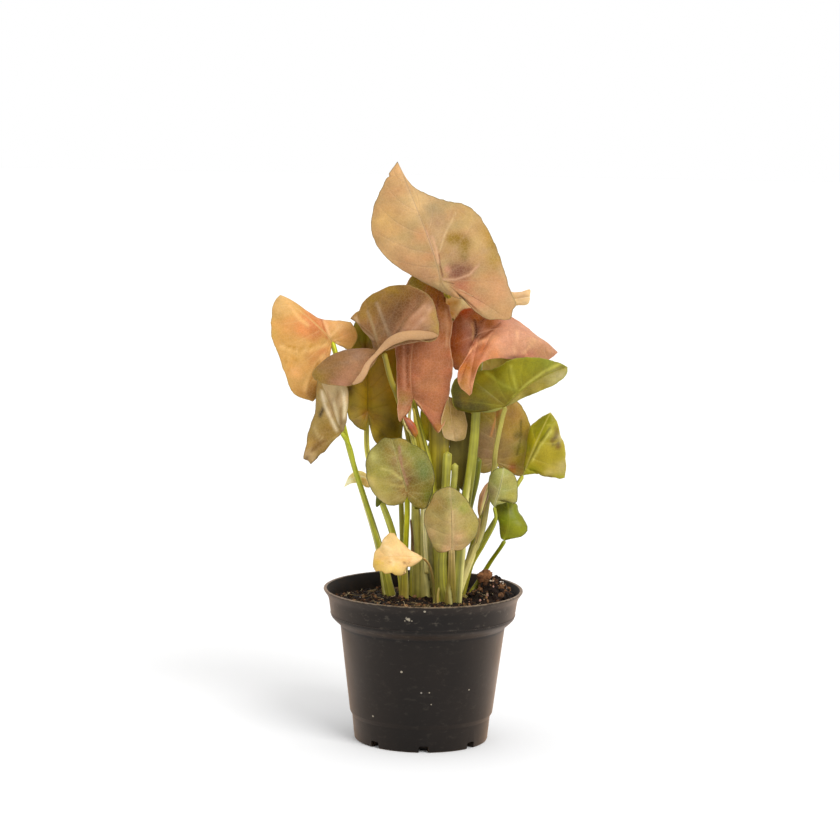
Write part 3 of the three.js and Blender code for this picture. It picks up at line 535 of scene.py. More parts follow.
# A stalk's skin: the groove at its seam, and its faint lengthwise ribs, broad and fine.
SEAM_GROOVE, BROAD_RIB, FINE_RIB = 0.08, 0.012, 0.02
DOUBLES_WITHIN, SLIVERS_WITHIN = 0.02, 0.005


def pigment(code):
    """The plant's own colour, from how it looks in the white studio, which lights it and adds a haze."""
    return np.clip(np.array(linear(code)[:3]) * LIGHT_TAKEN_OUT - HAZE_TAKEN_OUT, 0.002, 1)


def lean(points, turn=PLANT_LEAN):
    """Places on the plant, which as a whole leans a little to the left."""
    a = math.radians(turn)
    x, y, z = np.moveaxis(np.asarray(points, float), -1, 0)
    z = z - LEAN_HEIGHT
    leant_z = LEAN_HEIGHT - x * math.sin(a) + z * math.cos(a)
    return np.stack([x * math.cos(a) + z * math.sin(a), y, leant_z], -1)


def smooth_path(points, steps=SPAN_STEPS):
    """A centripetal Catmull-Rom curve through points, as (places, share of the length at each, length)."""
    p = np.array(points, float)
    p = np.vstack([2 * p[0] - p[1], p, 2 * p[-1] - p[-2]])
    gap = np.sqrt(np.linalg.norm(np.diff(p, axis=0), axis=1))
    t = np.linspace(0, 1, steps, endpoint=False)[:, None]
    spans = []
    for k in range(1, len(p) - 2):
        a, b, c, d = p[k - 1 : k + 3]
        g, h, i = gap[k - 1 : k + 2]
        start = ((b - a) / g - (c - a) / (g + h) + (c - b) / h) * h
        end = ((c - b) / h - (d - b) / (h + i) + (d - c) / i) * h
        bow, twist = 3 * (c - b) - 2 * start - end, 2 * (b - c) + start + end
        spans.append(b + start * t + bow * t**2 + twist * t**3)
    curve = np.vstack([*spans, p[-2]])
    run = np.concatenate([[0], np.cumsum(np.linalg.norm(np.diff(curve, axis=0), axis=1))])
    return curve, run / run[-1], run[-1]


def along(curve, share, where):
    """Places on a curve at given shares of its length."""
    return np.stack([np.interp(where, share, curve[:, k]) for k in range(3)], -1)


def unit(vectors):
    return vectors / (np.linalg.norm(vectors, axis=-1, keepdims=True) + 1e-12)


def edit_all(*steps):
    """Take these steps in edit mode, with the whole of the active piece selected."""
    bpy.ops.object.mode_set(mode="EDIT")
    bpy.ops.mesh.select_all(action="SELECT")
    for step in steps:
        step()
    bpy.ops.object.mode_set(mode="OBJECT")


def laid_grid(name, points, colours, uv):
    """A grid whose vertices are laid on points [row][column], with a tint and a UV map."""
    rows, columns = points.shape[:2]
    pick()
    bpy.ops.mesh.primitive_grid_add(x_subdivisions=columns - 1, y_subdivisions=rows - 1, size=2)
    sheet = bpy.context.object
    sheet.name = name
    sheet.data.vertices.foreach_set("co", (points * MM).ravel())
    set_tint(sheet, colours.reshape(-1, 3))
    corner = np.empty(len(sheet.data.loops), int)
    sheet.data.loops.foreach_get("vertex_index", corner)
    sheet.data.uv_layers[0].name = "lie"
    sheet.data.uv_layers[0].data.foreach_set("uv", uv.reshape(-1, 2)[corner].ravel())
    edit_all(lambda: bpy.ops.mesh.remove_doubles(threshold=DOUBLES_WITHIN * MM),
             lambda: bpy.ops.mesh.dissolve_degenerate(threshold=SLIVERS_WITHIN * MM))
    return sheet


def add_tube(name, path, widths, colours, seam=270.0, lip=None, twist=0.0, depth=STALK_DEPTH, pitch=1.3,
             axis=(1, 0, 0)):
    """A closed stalk along a path, of half width widths(share). Its skin overlaps itself at the seam by
    lip(share), and it is flattened by depth at right angles to axis."""
    curve, share, length = smooth_path(path)
    steps = max(6, round(length / pitch))
    t = np.linspace(0, 1, steps + 1)
    centre = along(curve, share, t)
    tangent = unit(np.gradient(centre, axis=0))
    back = unit(np.cross(tangent, axis))
    wide = unit(np.cross(back, tangent))
    r = widths(t)[:, None]
    fold = (lip(t) if lip else 0 * t)[:, None]
    turn = np.linspace(0, 1, STALK_SIDES + 1)[None]
    angle = np.radians(seam) + 2 * math.pi * turn
    angle = angle + np.radians(twist) * (fold / (fold.max() + 1e-9))
    groove = 1 - SEAM_GROOVE * np.exp(-((np.minimum(turn, 1 - turn) / 0.045) ** 2))
    ribs = 1 + FINE_RIB * np.cos(9 * angle) + BROAD_RIB * np.cos(5 * angle + 8 * t[:, None])
    radius = r * groove * ribs + fold * (turn - 0.35)
    across = wide[:, None] * (radius * np.cos(angle))[..., None]
    skin = centre[:, None] + across + back[:, None] * (depth * radius * np.sin(angle))[..., None]
    skin = np.concatenate([skin, skin[:, :1]], 1)  # the step at the seam closes the tube
    columns = skin.shape[1]
    first, last = skin[:1].mean(1, keepdims=True), skin[-1:].mean(1, keepdims=True)
    skin = np.concatenate([np.repeat(first, columns, 1), skin, np.repeat(last, columns, 1)])
    t = np.concatenate([[0], t, [1]])
    tones = np.array([pigment(c) for c in colours])
    stops = [0, 0.12, 0.5, 1] if len(tones) == 4 else np.linspace(0, 1, len(tones))
    tint = np.stack([np.interp(t, stops, tones[::-1, k]) for k in range(3)], -1)
    tint = np.repeat(tint[:, None], columns, 1)
    # The sheath's free margin is pale and thin, and a painted shade darkens the skin that it overlaps.
    edge = np.zeros((2, len(t), columns))
    edge[0, 1:-1, -4:] = (0.3, 0.75, 0.9, 0.6)
    edge[1, 1:-1, :3] = (0.75, 0.5, 0.2)
    edge *= np.clip(np.concatenate([[0], fold[:, 0], [0]]) / 0.3, 0, 1)[:, None]
    for share_of, code in zip(edge, (SHEATH_MARGIN, SHEATH_SHADE)):
        tint += (pigment(code) - tint) * share_of[..., None]
    # Each stalk takes its own strip of the pattern, 0.6 wide round it.
    u = np.concatenate([turn[0], [1]]) * 0.6 + 0.7 * (len(bpy.data.objects) % 7)
    uv = np.stack(np.broadcast_arrays(u[None], t[:, None] * length * 0.01), -1)
    tube = laid_grid(name, skin, tint, uv)
    edit_all(lambda: bpy.ops.mesh.normals_make_consistent(inside=False))
    bpy.ops.object.shade_smooth()
    return tube


def join_up(name, parts, material, replaced):
    """Join the parts of one piece, give it its finish, and hide the CAD part that it replaces."""
    pick(*parts)
    if len(parts) > 1:
        bpy.ops.object.join()
    piece = bpy.context.object
    piece.name = name
    piece.data.materials.clear()
    piece.data.materials.append(material)
    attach(piece, "root")
    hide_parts(replaced)


# Petiole skin: smooth, full of water and waxy, so it has a soft gloss, with faint lengthwise veins,
# clouds of 6 mm and a slight glow where light passes through. Broad bands round and along it are
# painted lighter and darker: painted light and shade.
def stalk_finish(name, roughness):
    material, tree, shader = new_finish(name, IOR=1.42, Subsurface_Weight=0.15, Subsurface_Scale=0.0015,
                                        Subsurface_Radius=(1.2, 1.2, 0.5))
    tone = node(tree, "Attribute", attribute_name="tint")
    lie = node(tree, "UVMap", uv_map="lie")
    drawn = node(tree, "Mapping", {"Vector": lie, "Scale": (44, 1.6, 1)})
    veins = node(tree, "TexNoise", {"Vector": drawn, "Scale": 1, "Detail": 2})
    broad = node(tree, "Mapping", {"Vector": lie, "Scale": (14, 0.9, 1)})
    lit_and_shaded_bands = node(tree, "TexNoise", {"Vector": broad, "Scale": 1, "Detail": 1})
    place = node(tree, "TexCoord").outputs["Object"]
    cloud = node(tree, "TexNoise", {"Vector": place, "Scale": 160, "Detail": 3})
    # The broad bands are painted light and shade: lit streaks and darker sides along the stalks.
    stripe, patch, band = (
        node(tree, "MapRange", {"Value": pattern, "From Min": low, "From Max": 1 - low, "To Min": dark,
                                "To Max": light})
        for pattern, low, dark, light in ((veins, 0.35, 0.84, 1.13), (cloud, 0.3, 0.84, 1.14),
                                          (lit_and_shaded_bands, 0.36, 0.72, 1.34))
    )
    both = node(tree, "Math", {0: stripe, 1: patch}, operation="MULTIPLY")
    both = node(tree, "Math", {0: both, 1: band}, operation="MULTIPLY")
    colour = node(tree, "VectorMath", {0: tone, 3: both}, operation="SCALE")
    rough = node(tree, "MapRange", {"Value": cloud, "From Min": 0.3, "From Max": 0.7,
                                    "To Min": roughness - 0.05, "To Max": roughness + 0.08})
    bump = node(tree, "Bump", {"Strength": 0.3, "Distance": 0.0002, "Height": veins})
    plug(tree, shader, {"Base Color": colour, "Roughness": rough, "Normal": bump})
    return material


petiole = stalk_finish("petiole_waxy_green", 0.38)
dry_petiole = stalk_finish("petiole_dried", 0.7)
ROOT_DEPTH = 6
STEM_FOOT = 62
STEM_COLOURS = ("#8f8048", "#7a6a3c", "#4a3c20")


def add_plantlet(node_name, at, radius, stalks, finish=petiole):
    """One plantlet. A stalk's radius is (top, foot), and its path and colours run from the top down."""
    parts = []
    for k, stalk in enumerate(stalks):
        top, foot = stalk["radius"]
        sheath, cut = stalk.get("sheath", 1.6), stalk.get("cut", False)
        path = stalk["path"][::-1]
        below = 2 * np.array(path[0]) - path[1]
        path = lean([path[0] + (below - path[0]) * ROOT_DEPTH / np.linalg.norm(below - path[0]), *path])
        length = smooth_path(path)[2]
        # A stalk ends rounded, in its blade's joint, and a cut one ends square.
        tip = (0.4 if cut else 1.0) / length

        def widths(t):
            return (top + (foot - top) * (1 - t) ** sheath) * np.sqrt(np.clip((1 - t) / tip, 0.02, 1))

        def lip(t):
            return (0.12 if cut else 0.3) * foot * (1 - smoothstep(t, 0.2, 0.55))

        parts.append(add_tube(f"{node_name}_{k}", path, widths, stalk["colours"], lip=lip,
                              depth=stalk.get("depth", STALK_DEPTH), seam=stalk.get("seam", 60.0),
                              twist=stalk.get("twist", 45.0)))
    x, y = at
    soil_top = float(soil_height(x, y))
    stem_path = lean([(x, y, z) for z in (STEM_FOOT, STEM_FOOT + 5, soil_top - 3, soil_top + 1)])
    swell = lambda t: radius * np.sqrt(np.clip(1 - (2 * t - 1) ** 6, 0.02, 1))
    parts.append(add_tube(f"{node_name}_stem", stem_path, swell, STEM_COLOURS, depth=1.0))
    join_up(f"{node_name}_petioles", parts, finish, node_name)


add_plantlet("stalks_left", at=(-19, 8), radius=3.4, stalks=[
    dict(radius=(1.4, 3), sheath=5, colours=("#c3c937", "#aeb139", "#bbb84c", "#a69e4c"), seam=200,
         path=[(-47, 2, 210), (-44.5, 1, 200), (-44, 0, 180), (-40, 2, 160), (-35.5, 3, 143),
               (-30.5, 4, 127), (-22.8, 7, 101), (-17.6, 8, 72)]),
    dict(radius=(1.15, 3.2), sheath=5, colours=("#aeb63d", "#acaf35", "#c1bc54", "#aaa048"), seam=320,
         path=[(-42, -10, 164), (-38, -6, 156), (-35, -4, 143), (-30, -2, 127), (-22.6, 3, 101),
               (-16.4, 7, 72)]),
])
add_plantlet("stalks_front_left", at=(-10, 0), radius=3.2, stalks=[
    dict(radius=(1.4, 2.7), sheath=2.6, colours=("#bbbc39", "#b9b831", "#b8a456", "#98784c"), seam=300,
         path=[(-8, -24, 135), (-8, -19, 131), (-8, -14, 122), (-9, -7, 102), (-10, 0, 71)]),
    dict(radius=(1.1, 2.1), sheath=3.5, colours=("#b2b43d", "#b9b63d", "#b2a950", "#aa945b"), seam=250,
         path=[(-21, -6, 127), (-17, -6, 117), (-14, -4, 106), (-12, -1, 90), (-10, 0, 71)]),
])
add_plantlet("stalk_back_left", at=(-9, 13), radius=2.8, stalks=[
    # The first stalk's colours are painted lighter, as painted light that offsets the shade of the leaves
    # above it.
    dict(radius=(1.4, 2.5), sheath=3, colours=("#c4b850", "#d2d46c", "#ccc45c", "#a89c4c"), seam=280,
         path=[(-29, 12, 172), (-29.5, 15.5, 164), (-29, 15, 149), (-22, 12, 125), (-15, 11, 104),
               (-9, 13, 71)]),
    dict(radius=(1.2, 2.2), sheath=3, colours=("#989446", "#a19e39", "#aaa34c", "#938944"),
         path=[(-12, 38, 180), (-12, 34.5, 173), (-12, 29, 148), (-11, 20, 110), (-9, 13, 71)]),
])
add_plantlet("stalks_middle", at=(-1, 3), radius=4, stalks=[
    dict(radius=(1.4, 3.4), sheath=2.2, colours=("#9c8c3a", "#96903c", "#b0a858", "#7a7430"), seam=300,
         path=[(-19.8, -15, 206), (-16.4, -6, 191), (-13, 0, 181), (-8, 3, 163), (-5, 3, 142),
               (-3, 3, 116), (-2, 3, 71)]),
    dict(radius=(0.9, 1.7), sheath=3, colours=("#939a2d", "#9c9f2b", "#86851e", "#65611e"), seam=240,
         path=[(4, 6, 157), (3, 6, 147), (3, 5, 126), (1, 4, 105), (0, 3, 71)]),
    dict(radius=(1.2, 2.2), sheath=3, colours=("#d5cd6b", "#b4b144", "#98942d", "#76712a"),
         path=[(-8, -6, 168), (-6, -5, 163), (-4, -3, 155), (-3, 0, 143), (-3, 2, 128)]),
    dict(radius=(4.2, 4.6), sheath=1, colours=("#dcd48c", "#c4bc6e", "#b0a45e", "#94804c"), seam=232,
         cut=True, depth=0.34,
         path=[(3.1, 0, 127), (3.1, 0.5, 110), (3.3, 1, 95), (3.5, 1, 71)]),
    dict(radius=(1.2, 2.6), sheath=2, colours=("#b2b42f", "#bfbc46", "#b2a74c", "#766635"), seam=250,
         path=[(-4.6, 5, 128), (-4.8, 5, 110), (-4.8, 4, 92), (-5, 4, 71)]),
    # A thin strip of pale sheath edge, painted near white: its own pale colour with a painted highlight
    # over it.
    dict(radius=(0.9, 1.2), sheath=1, colours=("#f8f0b4", "#f4ecb0", "#e8de98", "#c0b068"), seam=120,
         cut=True, depth=0.8,
         path=[(1.2, -9, 127), (1.1, -9, 116), (1.4, -8, 106), (1.8, -7, 95)]),
    dict(radius=(0.5, 0.9), sheath=1, colours=("#8c6c44", "#6c4c2c", "#9c7c54", "#5c4428"), seam=260,
         cut=True, depth=0.6, twist=90,
         path=[(-6.3, -4, 117.5), (-5.6, -4, 111), (-5.1, -3.4, 101)]),
    dict(radius=(0.5, 3.4), sheath=1, colours=("#b4a444", "#aca03c", "#a89c40", "#8c8430"), seam=250,
         cut=True, depth=0.5,
         path=[(-4.6, -4.5, 176), (-3.6, -3.5, 168), (-1.6, -1.5, 157), (0.2, 0, 147), (1.2, 1, 136)]),
    dict(radius=(0.4, 2.3), sheath=1, colours=("#d4c47c", "#cabc70", "#bcae60", "#8c8048"), seam=250,
         cut=True, depth=0.4,
         path=[(-5.5, -2, 178), (-6.9, -2, 171.7), (-6.4, -2, 165.3), (-4.5, -1.5, 158.5),
               (-2, -1, 152)]),
])
add_plantlet("stalks_centre", at=(9, -2), radius=3.2, stalks=[
    dict(radius=(1.5, 3), sheath=2.4, colours=("#98942d", "#aaa740", "#aca548", "#7c672a"), seam=310,
         path=[(-5, -3, 181), (-3.5, 1, 173), (0.5, 0.5, 158), (4, -1, 143), (6, -1, 121),
               (8, -2, 95), (9, -2, 71)]),
    dict(radius=(2.3, 1.6), colours=("#bbb854", "#a9a53d", "#a39e3d", "#93893d"), cut=True,
         path=[(13, -4, 153), (12, -4, 134), (11, -3, 112), (9, -2, 85)]),
    dict(radius=(1.7, 1.4), colours=("#bfbc5b", "#aeaa48", "#a39e3d", "#93893d"), cut=True,
         path=[(17, -4, 147), (16, -4, 134), (12, -3, 112), (10, -2, 90)]),
    dict(radius=(5.6, 4.4), sheath=1, colours=("#9a8428", "#a89e38", "#8f8a30", "#5a5309"), seam=255,
         cut=True, depth=0.3,
         path=[(8.8, 3.5, 175), (8.5, 3.5, 150), (8.5, 3, 125), (8.4, 2, 100)]),
])
add_plantlet("stalks_front", at=(15, -12), radius=4.6, stalks=[
    dict(radius=(1.7, 3.4), sheath=0.8, colours=("#a8a444", "#98983e", "#888640", "#66602e"), seam=285,
         path=[(28, -5, 214), (30, -2, 207), (29, 0.5, 196), (28, 1.5, 176), (27, 1, 160),
               (25, 0, 141), (22, -3, 122), (19, -8, 96), (17, -12, 71)]),
    dict(radius=(1.6, 3.4), sheath=1.4, colours=("#b29a65", "#a6964e", "#95834c", "#766335"), seam=250,
         path=[(15, -28, 106), (15, -23, 95), (15, -18, 85), (14, -12, 71)]),
    dict(radius=(2.2, 3), sheath=1.2, colours=("#bfbc50", "#b4af44", "#9d9840", "#76672d"), seam=300,
         cut=True, depth=0.5,
         path=[(10.6, -9, 103), (10.2, -9.5, 95), (10.4, -10, 84), (11, -11, 71)]),
    dict(radius=(0.5, 1), sheath=1, colours=("#e0c878", "#c8b060", "#a08850", "#6a5a30"), seam=260,
         cut=True, depth=0.6,
         path=[(8.6, -13, 83), (7.9, -13, 78), (8.2, -12.6, 71)]),
])
add_plantlet("stalks_right", at=(22, 0), radius=3.8, stalks=[
    dict(radius=(1.15, 3), sheath=2.2, colours=("#a49c4c", "#aa9e5c", "#b6ac70", "#93814c"), seam=300,
         path=[(43, -12, 178), (41, -10, 170), (38, -7, 154), (37, -3, 143), (34, -2, 127),
               (31, -3, 111), (26, -5, 99), (20.4, -9, 86), (15.2, -12.5, 71)]),
    dict(radius=(0.9, 1.4), colours=("#989e35", "#a1a03b", "#a69e44", "#827835"),
         path=[(37, -15, 126), (38, -13, 119), (32, -8, 105), (25.5, -4, 93), (20.5, -3, 80)]),
    dict(radius=(1.1, 2), sheath=3, colours=("#adab37", "#a2a539", "#aaa344", "#827835"),
         path=[(53, 13, 138), (49, 10, 132), (43, 7, 123), (36, 5, 112), (30.5, 3.5, 103),
               (26, 2, 94), (20.5, 1, 76)]),
    dict(radius=(1.2, 2), sheath=3, colours=("#a39e44", "#a19e39", "#aaa344", "#827835"),
         path=[(39, 20, 144), (37, 14, 136), (32, 9, 120), (25, 4, 98), (20, 1, 76)]),
    dict(radius=(1.1, 1.8), sheath=3, colours=("#858d22", "#95982d", "#a19e39", "#827835"),
         path=[(43, -8, 107), (41, -5.5, 103), (36, 2.5, 94), (31.5, 5, 86), (25, 2, 76)]),
    dict(radius=(2.2, 2), colours=("#737813", "#82851a", "#938d31", "#827835"), cut=True,
         path=[(29, 3, 149), (27.5, 3, 137), (24.5, 3, 124), (20.5, 2, 105), (18, 1, 84)]),
    dict(radius=(0.8, 1.2), colours=("#bb9a5b", "#a19a56", "#a19644", "#827835"),
         path=[(29.5, -7.5, 119), (29, -6, 111), (26, -4, 99), (22, -3, 85)]),
])
add_plantlet("stalks_back", at=(9, 15), radius=3.8, stalks=[
    dict(radius=(1.8, 2.6), sheath=3, colours=("#a3963d", "#989431", "#938d3d", "#71632a"),
         path=[(9, -10, 243), (12, -5, 237), (14, 3, 231), (15, 8, 221), (13, 11, 205),
               (12, 12, 179), (10, 13, 152), (8, 14, 120), (8, 15, 71)]),
    dict(radius=(1.2, 2), sheath=3, colours=("#b2a554", "#989431", "#938d3d", "#71632a"),
         path=[(23, 16, 217), (23.5, 18.5, 209), (24, 15, 192), (24, 14, 176), (21, 14, 150),
               (16, 15, 114), (11, 15, 76)]),
    dict(radius=(1.2, 2.2), sheath=3, colours=("#989440", "#989431", "#938d3d", "#71632a"),
         path=[(34, 42, 171), (33, 38, 164), (29, 32, 140), (20, 22, 105), (10, 16, 71)]),
])
add_plantlet("stalk_withered", at=(6, -13), radius=0.9, stalks=[
    dict(radius=(0.6, 0.8), sheath=1, colours=("#c09a5c", "#8c7e44", "#767034", "#6a6830"),
         path=[(0, -26, 101), (3, -22, 97), (5, -17, 90), (6, -13, 80), (6, -13, 68)]),
], finish=dry_petiole)

# ---- Young rolled leaves -----------------------------------------------------------------------
# Two leaves that have yet to open, still wound into soft pink cones inside a cream-edged sheath.
YOUNG_LEAVES = {
    # Each station is x, y, z and the cone's half width there.
    "leaf_unfurling": dict(
        stations=[(-3.5, -6.5, 160.5, 0.6), (-4.2, -7, 163, 2), (-6, -7.5, 166.5, 2.5),
                  (-8, -7.5, 169.5, 1.9), (-10, -7, 172, 0.5)],
        colours=("#c07a5c", "#ac563c", "#b4843c"), seam=215),
    "leaf_rolled_right": dict(
        stations=[(29.5, -7.5, 119, 0.7), (30.5, -8, 124, 1.8), (32, -8, 130, 2.4),
                  (33.5, -8, 135, 1.5), (34.5, -8, 138, 0.4)],
        colours=("#c79a74", "#b08460", "#a5884c"), seam=300),
}


def path_and_width(stations):
    """The path through stations, and its half width as a function of the share of its length."""
    stations = np.array(stations)
    path = lean(stations[:, :3])
    marks = smooth_path(path)[1][::SPAN_STEPS]
    return path, lambda t: np.interp(t, marks, stations[:, 3])


for name, young in YOUNG_LEAVES.items():
    path, width = path_and_width(young["stations"])
    cone = add_tube(name, path, lambda t: width(t) * np.clip(1.05 - (2 * t - 1) ** 8, 0.1, 1),
                    young["colours"], seam=young["seam"], depth=0.85, pitch=0.5,
                    lip=lambda t: 0.7 * np.sin(math.pi * np.clip(t, 0, 1)))
    join_up(f"{name}_roll", [cone], petiole, name)

# ---- Golden leaves -----------------------------------------------------------------------------
# Oldest leaves, faded to tan, peach and gold. Each blade is a thin sheet on a fork of veins: one
# midrib, a fan into each basal lobe, and side veins that sweep towards the tip.
BLADE = 0.45
MARGIN_STEPS = 40
ROW_WIDTH, COLUMN_WIDTH = 0.72, 4
# The relief in the upper face: grooves over the veins, cushions between them and a slow swell.
RIB_GROOVE, VEIN_GROOVE, CUSHION, SWELL = 0.15, 0.16, 0.28, 0.5
# How strongly a vein, its halo, the midrib and the margin take their own colour.
VEIN_TINT, HALO_TINT, RIB_TINT, MARGIN_TINT = 0.36, 0.14, 0.62, 0.82


def ease(count):
    """Shares from 0 to 1 in count steps, closer together at both ends."""
    x = np.linspace(0, 1, count + 1)
    return x - 0.7 * np.sin(2 * math.pi * x) / (2 * math.pi)


def bell(distance, reach):
    """1 on a line, and falling off softly within reach of it."""
    return np.exp(-((distance / reach) ** 2))


def painted(places, ground, patches, strokes):
    """The tint at places: a ground colour, with soft patches and strokes over it. A patch is
    (x, z, size, colour), and a stroke is ([(x, z), ...], width, colour)."""
    x, z = places[..., 0], places[..., 2]
    drift = np.stack([ripple(places, 9, 21), ripple(places, 9, 22)])
    fuzz = np.stack([ripple(places, 3, 23), ripple(places, 3, 24)])
    # Green, tan and pink drift into one another over a centimetre or so.
    warm, light = ripple(places, 11, 25)[..., None], ripple(places, 6, 26)[..., None]
    tint = ground * (1 + warm * (0.07, -0.05, -0.05) + 0.06 * light)
    for px, pz, size, code in patches:
        shift = (0.22 * drift + 0.12 * fuzz) * size
        away = ((x - px + shift[0]) ** 2 + (z - pz + shift[1]) ** 2) / size**2
        tint += (pigment(code) - tint) * np.exp(-away)[..., None]
    for line, width, code in strokes:
        near = np.full(x.shape, 1e9)
        for (ax, az), (bx, bz) in zip(line, line[1:]):
            dx, dz = bx - ax, bz - az
            t = np.clip(((x - ax) * dx + (z - az) * dz) / (dx * dx + dz * dz), 0, 1)
            near = np.minimum(near, (x - ax - t * dx) ** 2 + (z - az - t * dz) ** 2)
        tint += (pigment(code) - tint) * (0.85 * np.exp(-near / width**2))[..., None]
    return tint


def add_blade(name, finish, joint, middle, tip, puff, left, right, veins, colour, vein, patches,
              margin=None, strokes=(), wave=(0.5, 3), sweep=0.14, ragged=0.3, other=None, bay=None,
              in_frame=True):
    """A leaf blade, ruled from its midrib to its two margins as the side veins run. Its lobes are ruled
    from the joint, and the left one ends at outline point number bay if that is given. A blade that is
    not in_frame is a lobe of another leaf, and has no node of its own."""
    joint, middle, tip = lean(joint), lean(middle), lean(tip)
    bend = 2 * middle - (joint + tip) / 2
    ahead = unit(tip - joint)
    rib_veins, lobe_veins = veins
    # The grid's columns are numbered -1 to 0 where they fan out from the joint into a lobe, and 0 to 1
    # where they start from the midrib, at that share of it.
    stops = [-1 + (k + 1) / (lobe_veins + 0.6) for k in range(lobe_veins)]
    stops += [((k + 0.5) / (rib_veins + 0.2)) ** 1.1 for k in range(rib_veins)]
    steps = int(np.clip(np.linalg.norm(tip - joint) / COLUMN_WIDTH, 8, 17))
    column = [a + (b - a) * ease(steps)[:-1] for a, b in zip([-1, *stops], [*stops, 1])]
    column = np.append(np.concatenate(column), 1)
    vein_columns = steps * np.arange(1, len(stops) + 1)

    def midrib(w):
        rib = np.clip(w, 0, 1)[..., None]
        return joint * (1 - rib) ** 2 + 2 * bend * rib * (1 - rib) + tip * rib**2

    def half(turn, outline):
        """One half in rows from midrib to margin: places, share and width across, way that it faces."""
        curve, share, _ = smooth_path([joint, *lean(outline), tip], MARGIN_STEPS)
        heading = unit(np.gradient(curve, axis=0))
        u = np.arange(0.1, 0.6, 0.01)
        behind = u[(along(curve, share, u) - joint) @ ahead < 0]
        lobe = behind[-1] if len(behind) else 0.1
        if bay and turn < 0:
            lobe = share[MARGIN_STEPS * bay]
        breadth = np.linalg.norm(along(curve, share, np.array([lobe + 0.2]))[0] - joint)
        s = ease(int(np.clip(breadth / ROW_WIDTH, 12, 44)))[1:, None]
        w = column + np.where(column > 0, sweep * 4 * column * (1 - column), 0) * s**1.5
        root = midrib(w)
        where = np.where(w < 0, lobe * (1 + w), lobe + (1 - lobe) * w)
        edge = along(curve, share, where)
        reach = edge - root
        width = np.linalg.norm(reach, axis=-1)
        tear = 0.8 * ripple(edge, 6, 31) + 0.5 * ripple(edge, 2.5, 32)
        tear = ragged * tear * smoothstep(width, 1, 6)
        reach = reach * (1 + tear / (width + 0.1))[..., None]
        front = unit(np.cross(along(heading, share, where), reach)) * -turn
        places = root + reach * s[..., None] + front * (puff * width * 4 * s * (1 - s))[..., None]
        return places, np.broadcast_to(s, width.shape), width, front

    halves = half(-1, left), half(1, right)
    both = lambda k, between: np.concatenate([halves[0][k][::-1], between, halves[1][k]])
    blank = np.zeros((1, len(column)))
    points = both(0, midrib(column)[None])
    s, width = both(1, blank), both(2, blank)
    front = both(3, halves[1][3][:1])
    row = np.arange(len(points))[:, None]
    on_left, on_right = row < len(halves[0][0]), row > len(halves[0][0])

    # The blade's own face direction, and the relief along it.
    face = np.cross(np.gradient(points, axis=1), np.gradient(points, axis=0))
    face *= np.sign((unit(face) * front).sum())
    face = unit(unit(face) + 0.05 * unit(front.reshape(-1, 3).mean(0)))
    run = np.cumsum(np.linalg.norm(np.diff(points, axis=1), axis=-1), axis=1)
    run = np.concatenate([np.zeros((len(points), 1)), run], 1)
    near = np.abs(run[:, :, None] - run[:, None, vein_columns]).min(-1)
    room = np.maximum(np.gradient(run, axis=1) * steps, 0.1)
    from_rib, from_edge = s * width, (1 - s) * width
    open_blade = smoothstep(from_rib, 0.3, 3) * smoothstep(from_edge, 0, 3)
    taper = 1 - 0.6 * np.clip(column, 0, 1)
    on_rib = column > -0.02
    relief = -RIB_GROOVE * bell(from_rib, 0.9) * taper * on_rib
    relief = relief - VEIN_GROOVE * bell(near, 0.55) * (1 - 0.7 * s) * open_blade
    relief = relief + CUSHION * np.minimum(near / room * 2, 1) * open_blade * np.clip(room / 6, 0.3, 1)
    relief = relief + SWELL * ripple(points, 17, len(name)) * open_blade
    height, cycles = wave
    swing = np.sin(2 * math.pi * cycles * (column * 0.5) + np.where(on_left, 0.7, 2.3) + len(name))
    relief = relief + height * swing * s**4 * smoothstep(width, 3, 12)
    facing = 1 if puff > 0 else -1
    points = points + face * (facing * relief)[..., None]

    upright = lean(points, -PLANT_LEAN)
    ground = np.broadcast_to(pigment(colour), upright.shape)
    if other:
        # The half right of the midrib is turned to another light, or faded to another colour.
        ground = ground + (pigment(other) - ground) * on_right[..., None]
    tint = painted(upright, ground, patches, strokes)
    fade = np.clip(1.15 - s, 0, 1) * smoothstep(width, 2, 8)
    lateral = VEIN_TINT * bell(near, 0.32) * fade * smoothstep(from_rib, 0.2, 2)
    halo = HALO_TINT * bell(near, 1.1) * fade * smoothstep(from_rib, 0.2, 3)
    rib = RIB_TINT * bell(from_rib, 0.25 + 0.35 * taper) * on_rib
    mask = np.clip(np.maximum(np.maximum(lateral, halo), rib), 0, 1)
    tint += (pigment(vein) - tint) * mask[..., None]
    if margin:
        tint += (pigment(margin) - tint) * (MARGIN_TINT * bell(from_edge, 0.46))[..., None]
    across = s * np.where(on_left, -1, 1) * width
    uv = np.stack(np.broadcast_arrays(run * 0.01, across * 0.01), -1)

    blade = laid_grid(name, points, tint, uv)
    towards = np.mean(front.reshape(-1, 3), 0) * facing
    if sum(p.area * p.normal.dot(towards) for p in blade.data.polygons) < 0:
        edit_all(bpy.ops.mesh.flip_normals)
    upper, under, slot = finish
    blade.data.materials.clear()
    blade.data.materials.append(upper)
    blade.data.materials.append(under)
    bpy.ops.object.modifier_add(type="SOLIDIFY")
    thicken = blade.modifiers[-1]
    thicken.thickness = BLADE * MM
    thicken.offset = 0
    thicken.material_offset = 1
    thicken.material_offset_rim = 0
    bpy.ops.object.modifier_apply(modifier=thicken.name)
    bpy.ops.object.shade_smooth()
    blade.name = name + "_blade"
    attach(blade, "root")
    if in_frame:
        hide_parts(name)


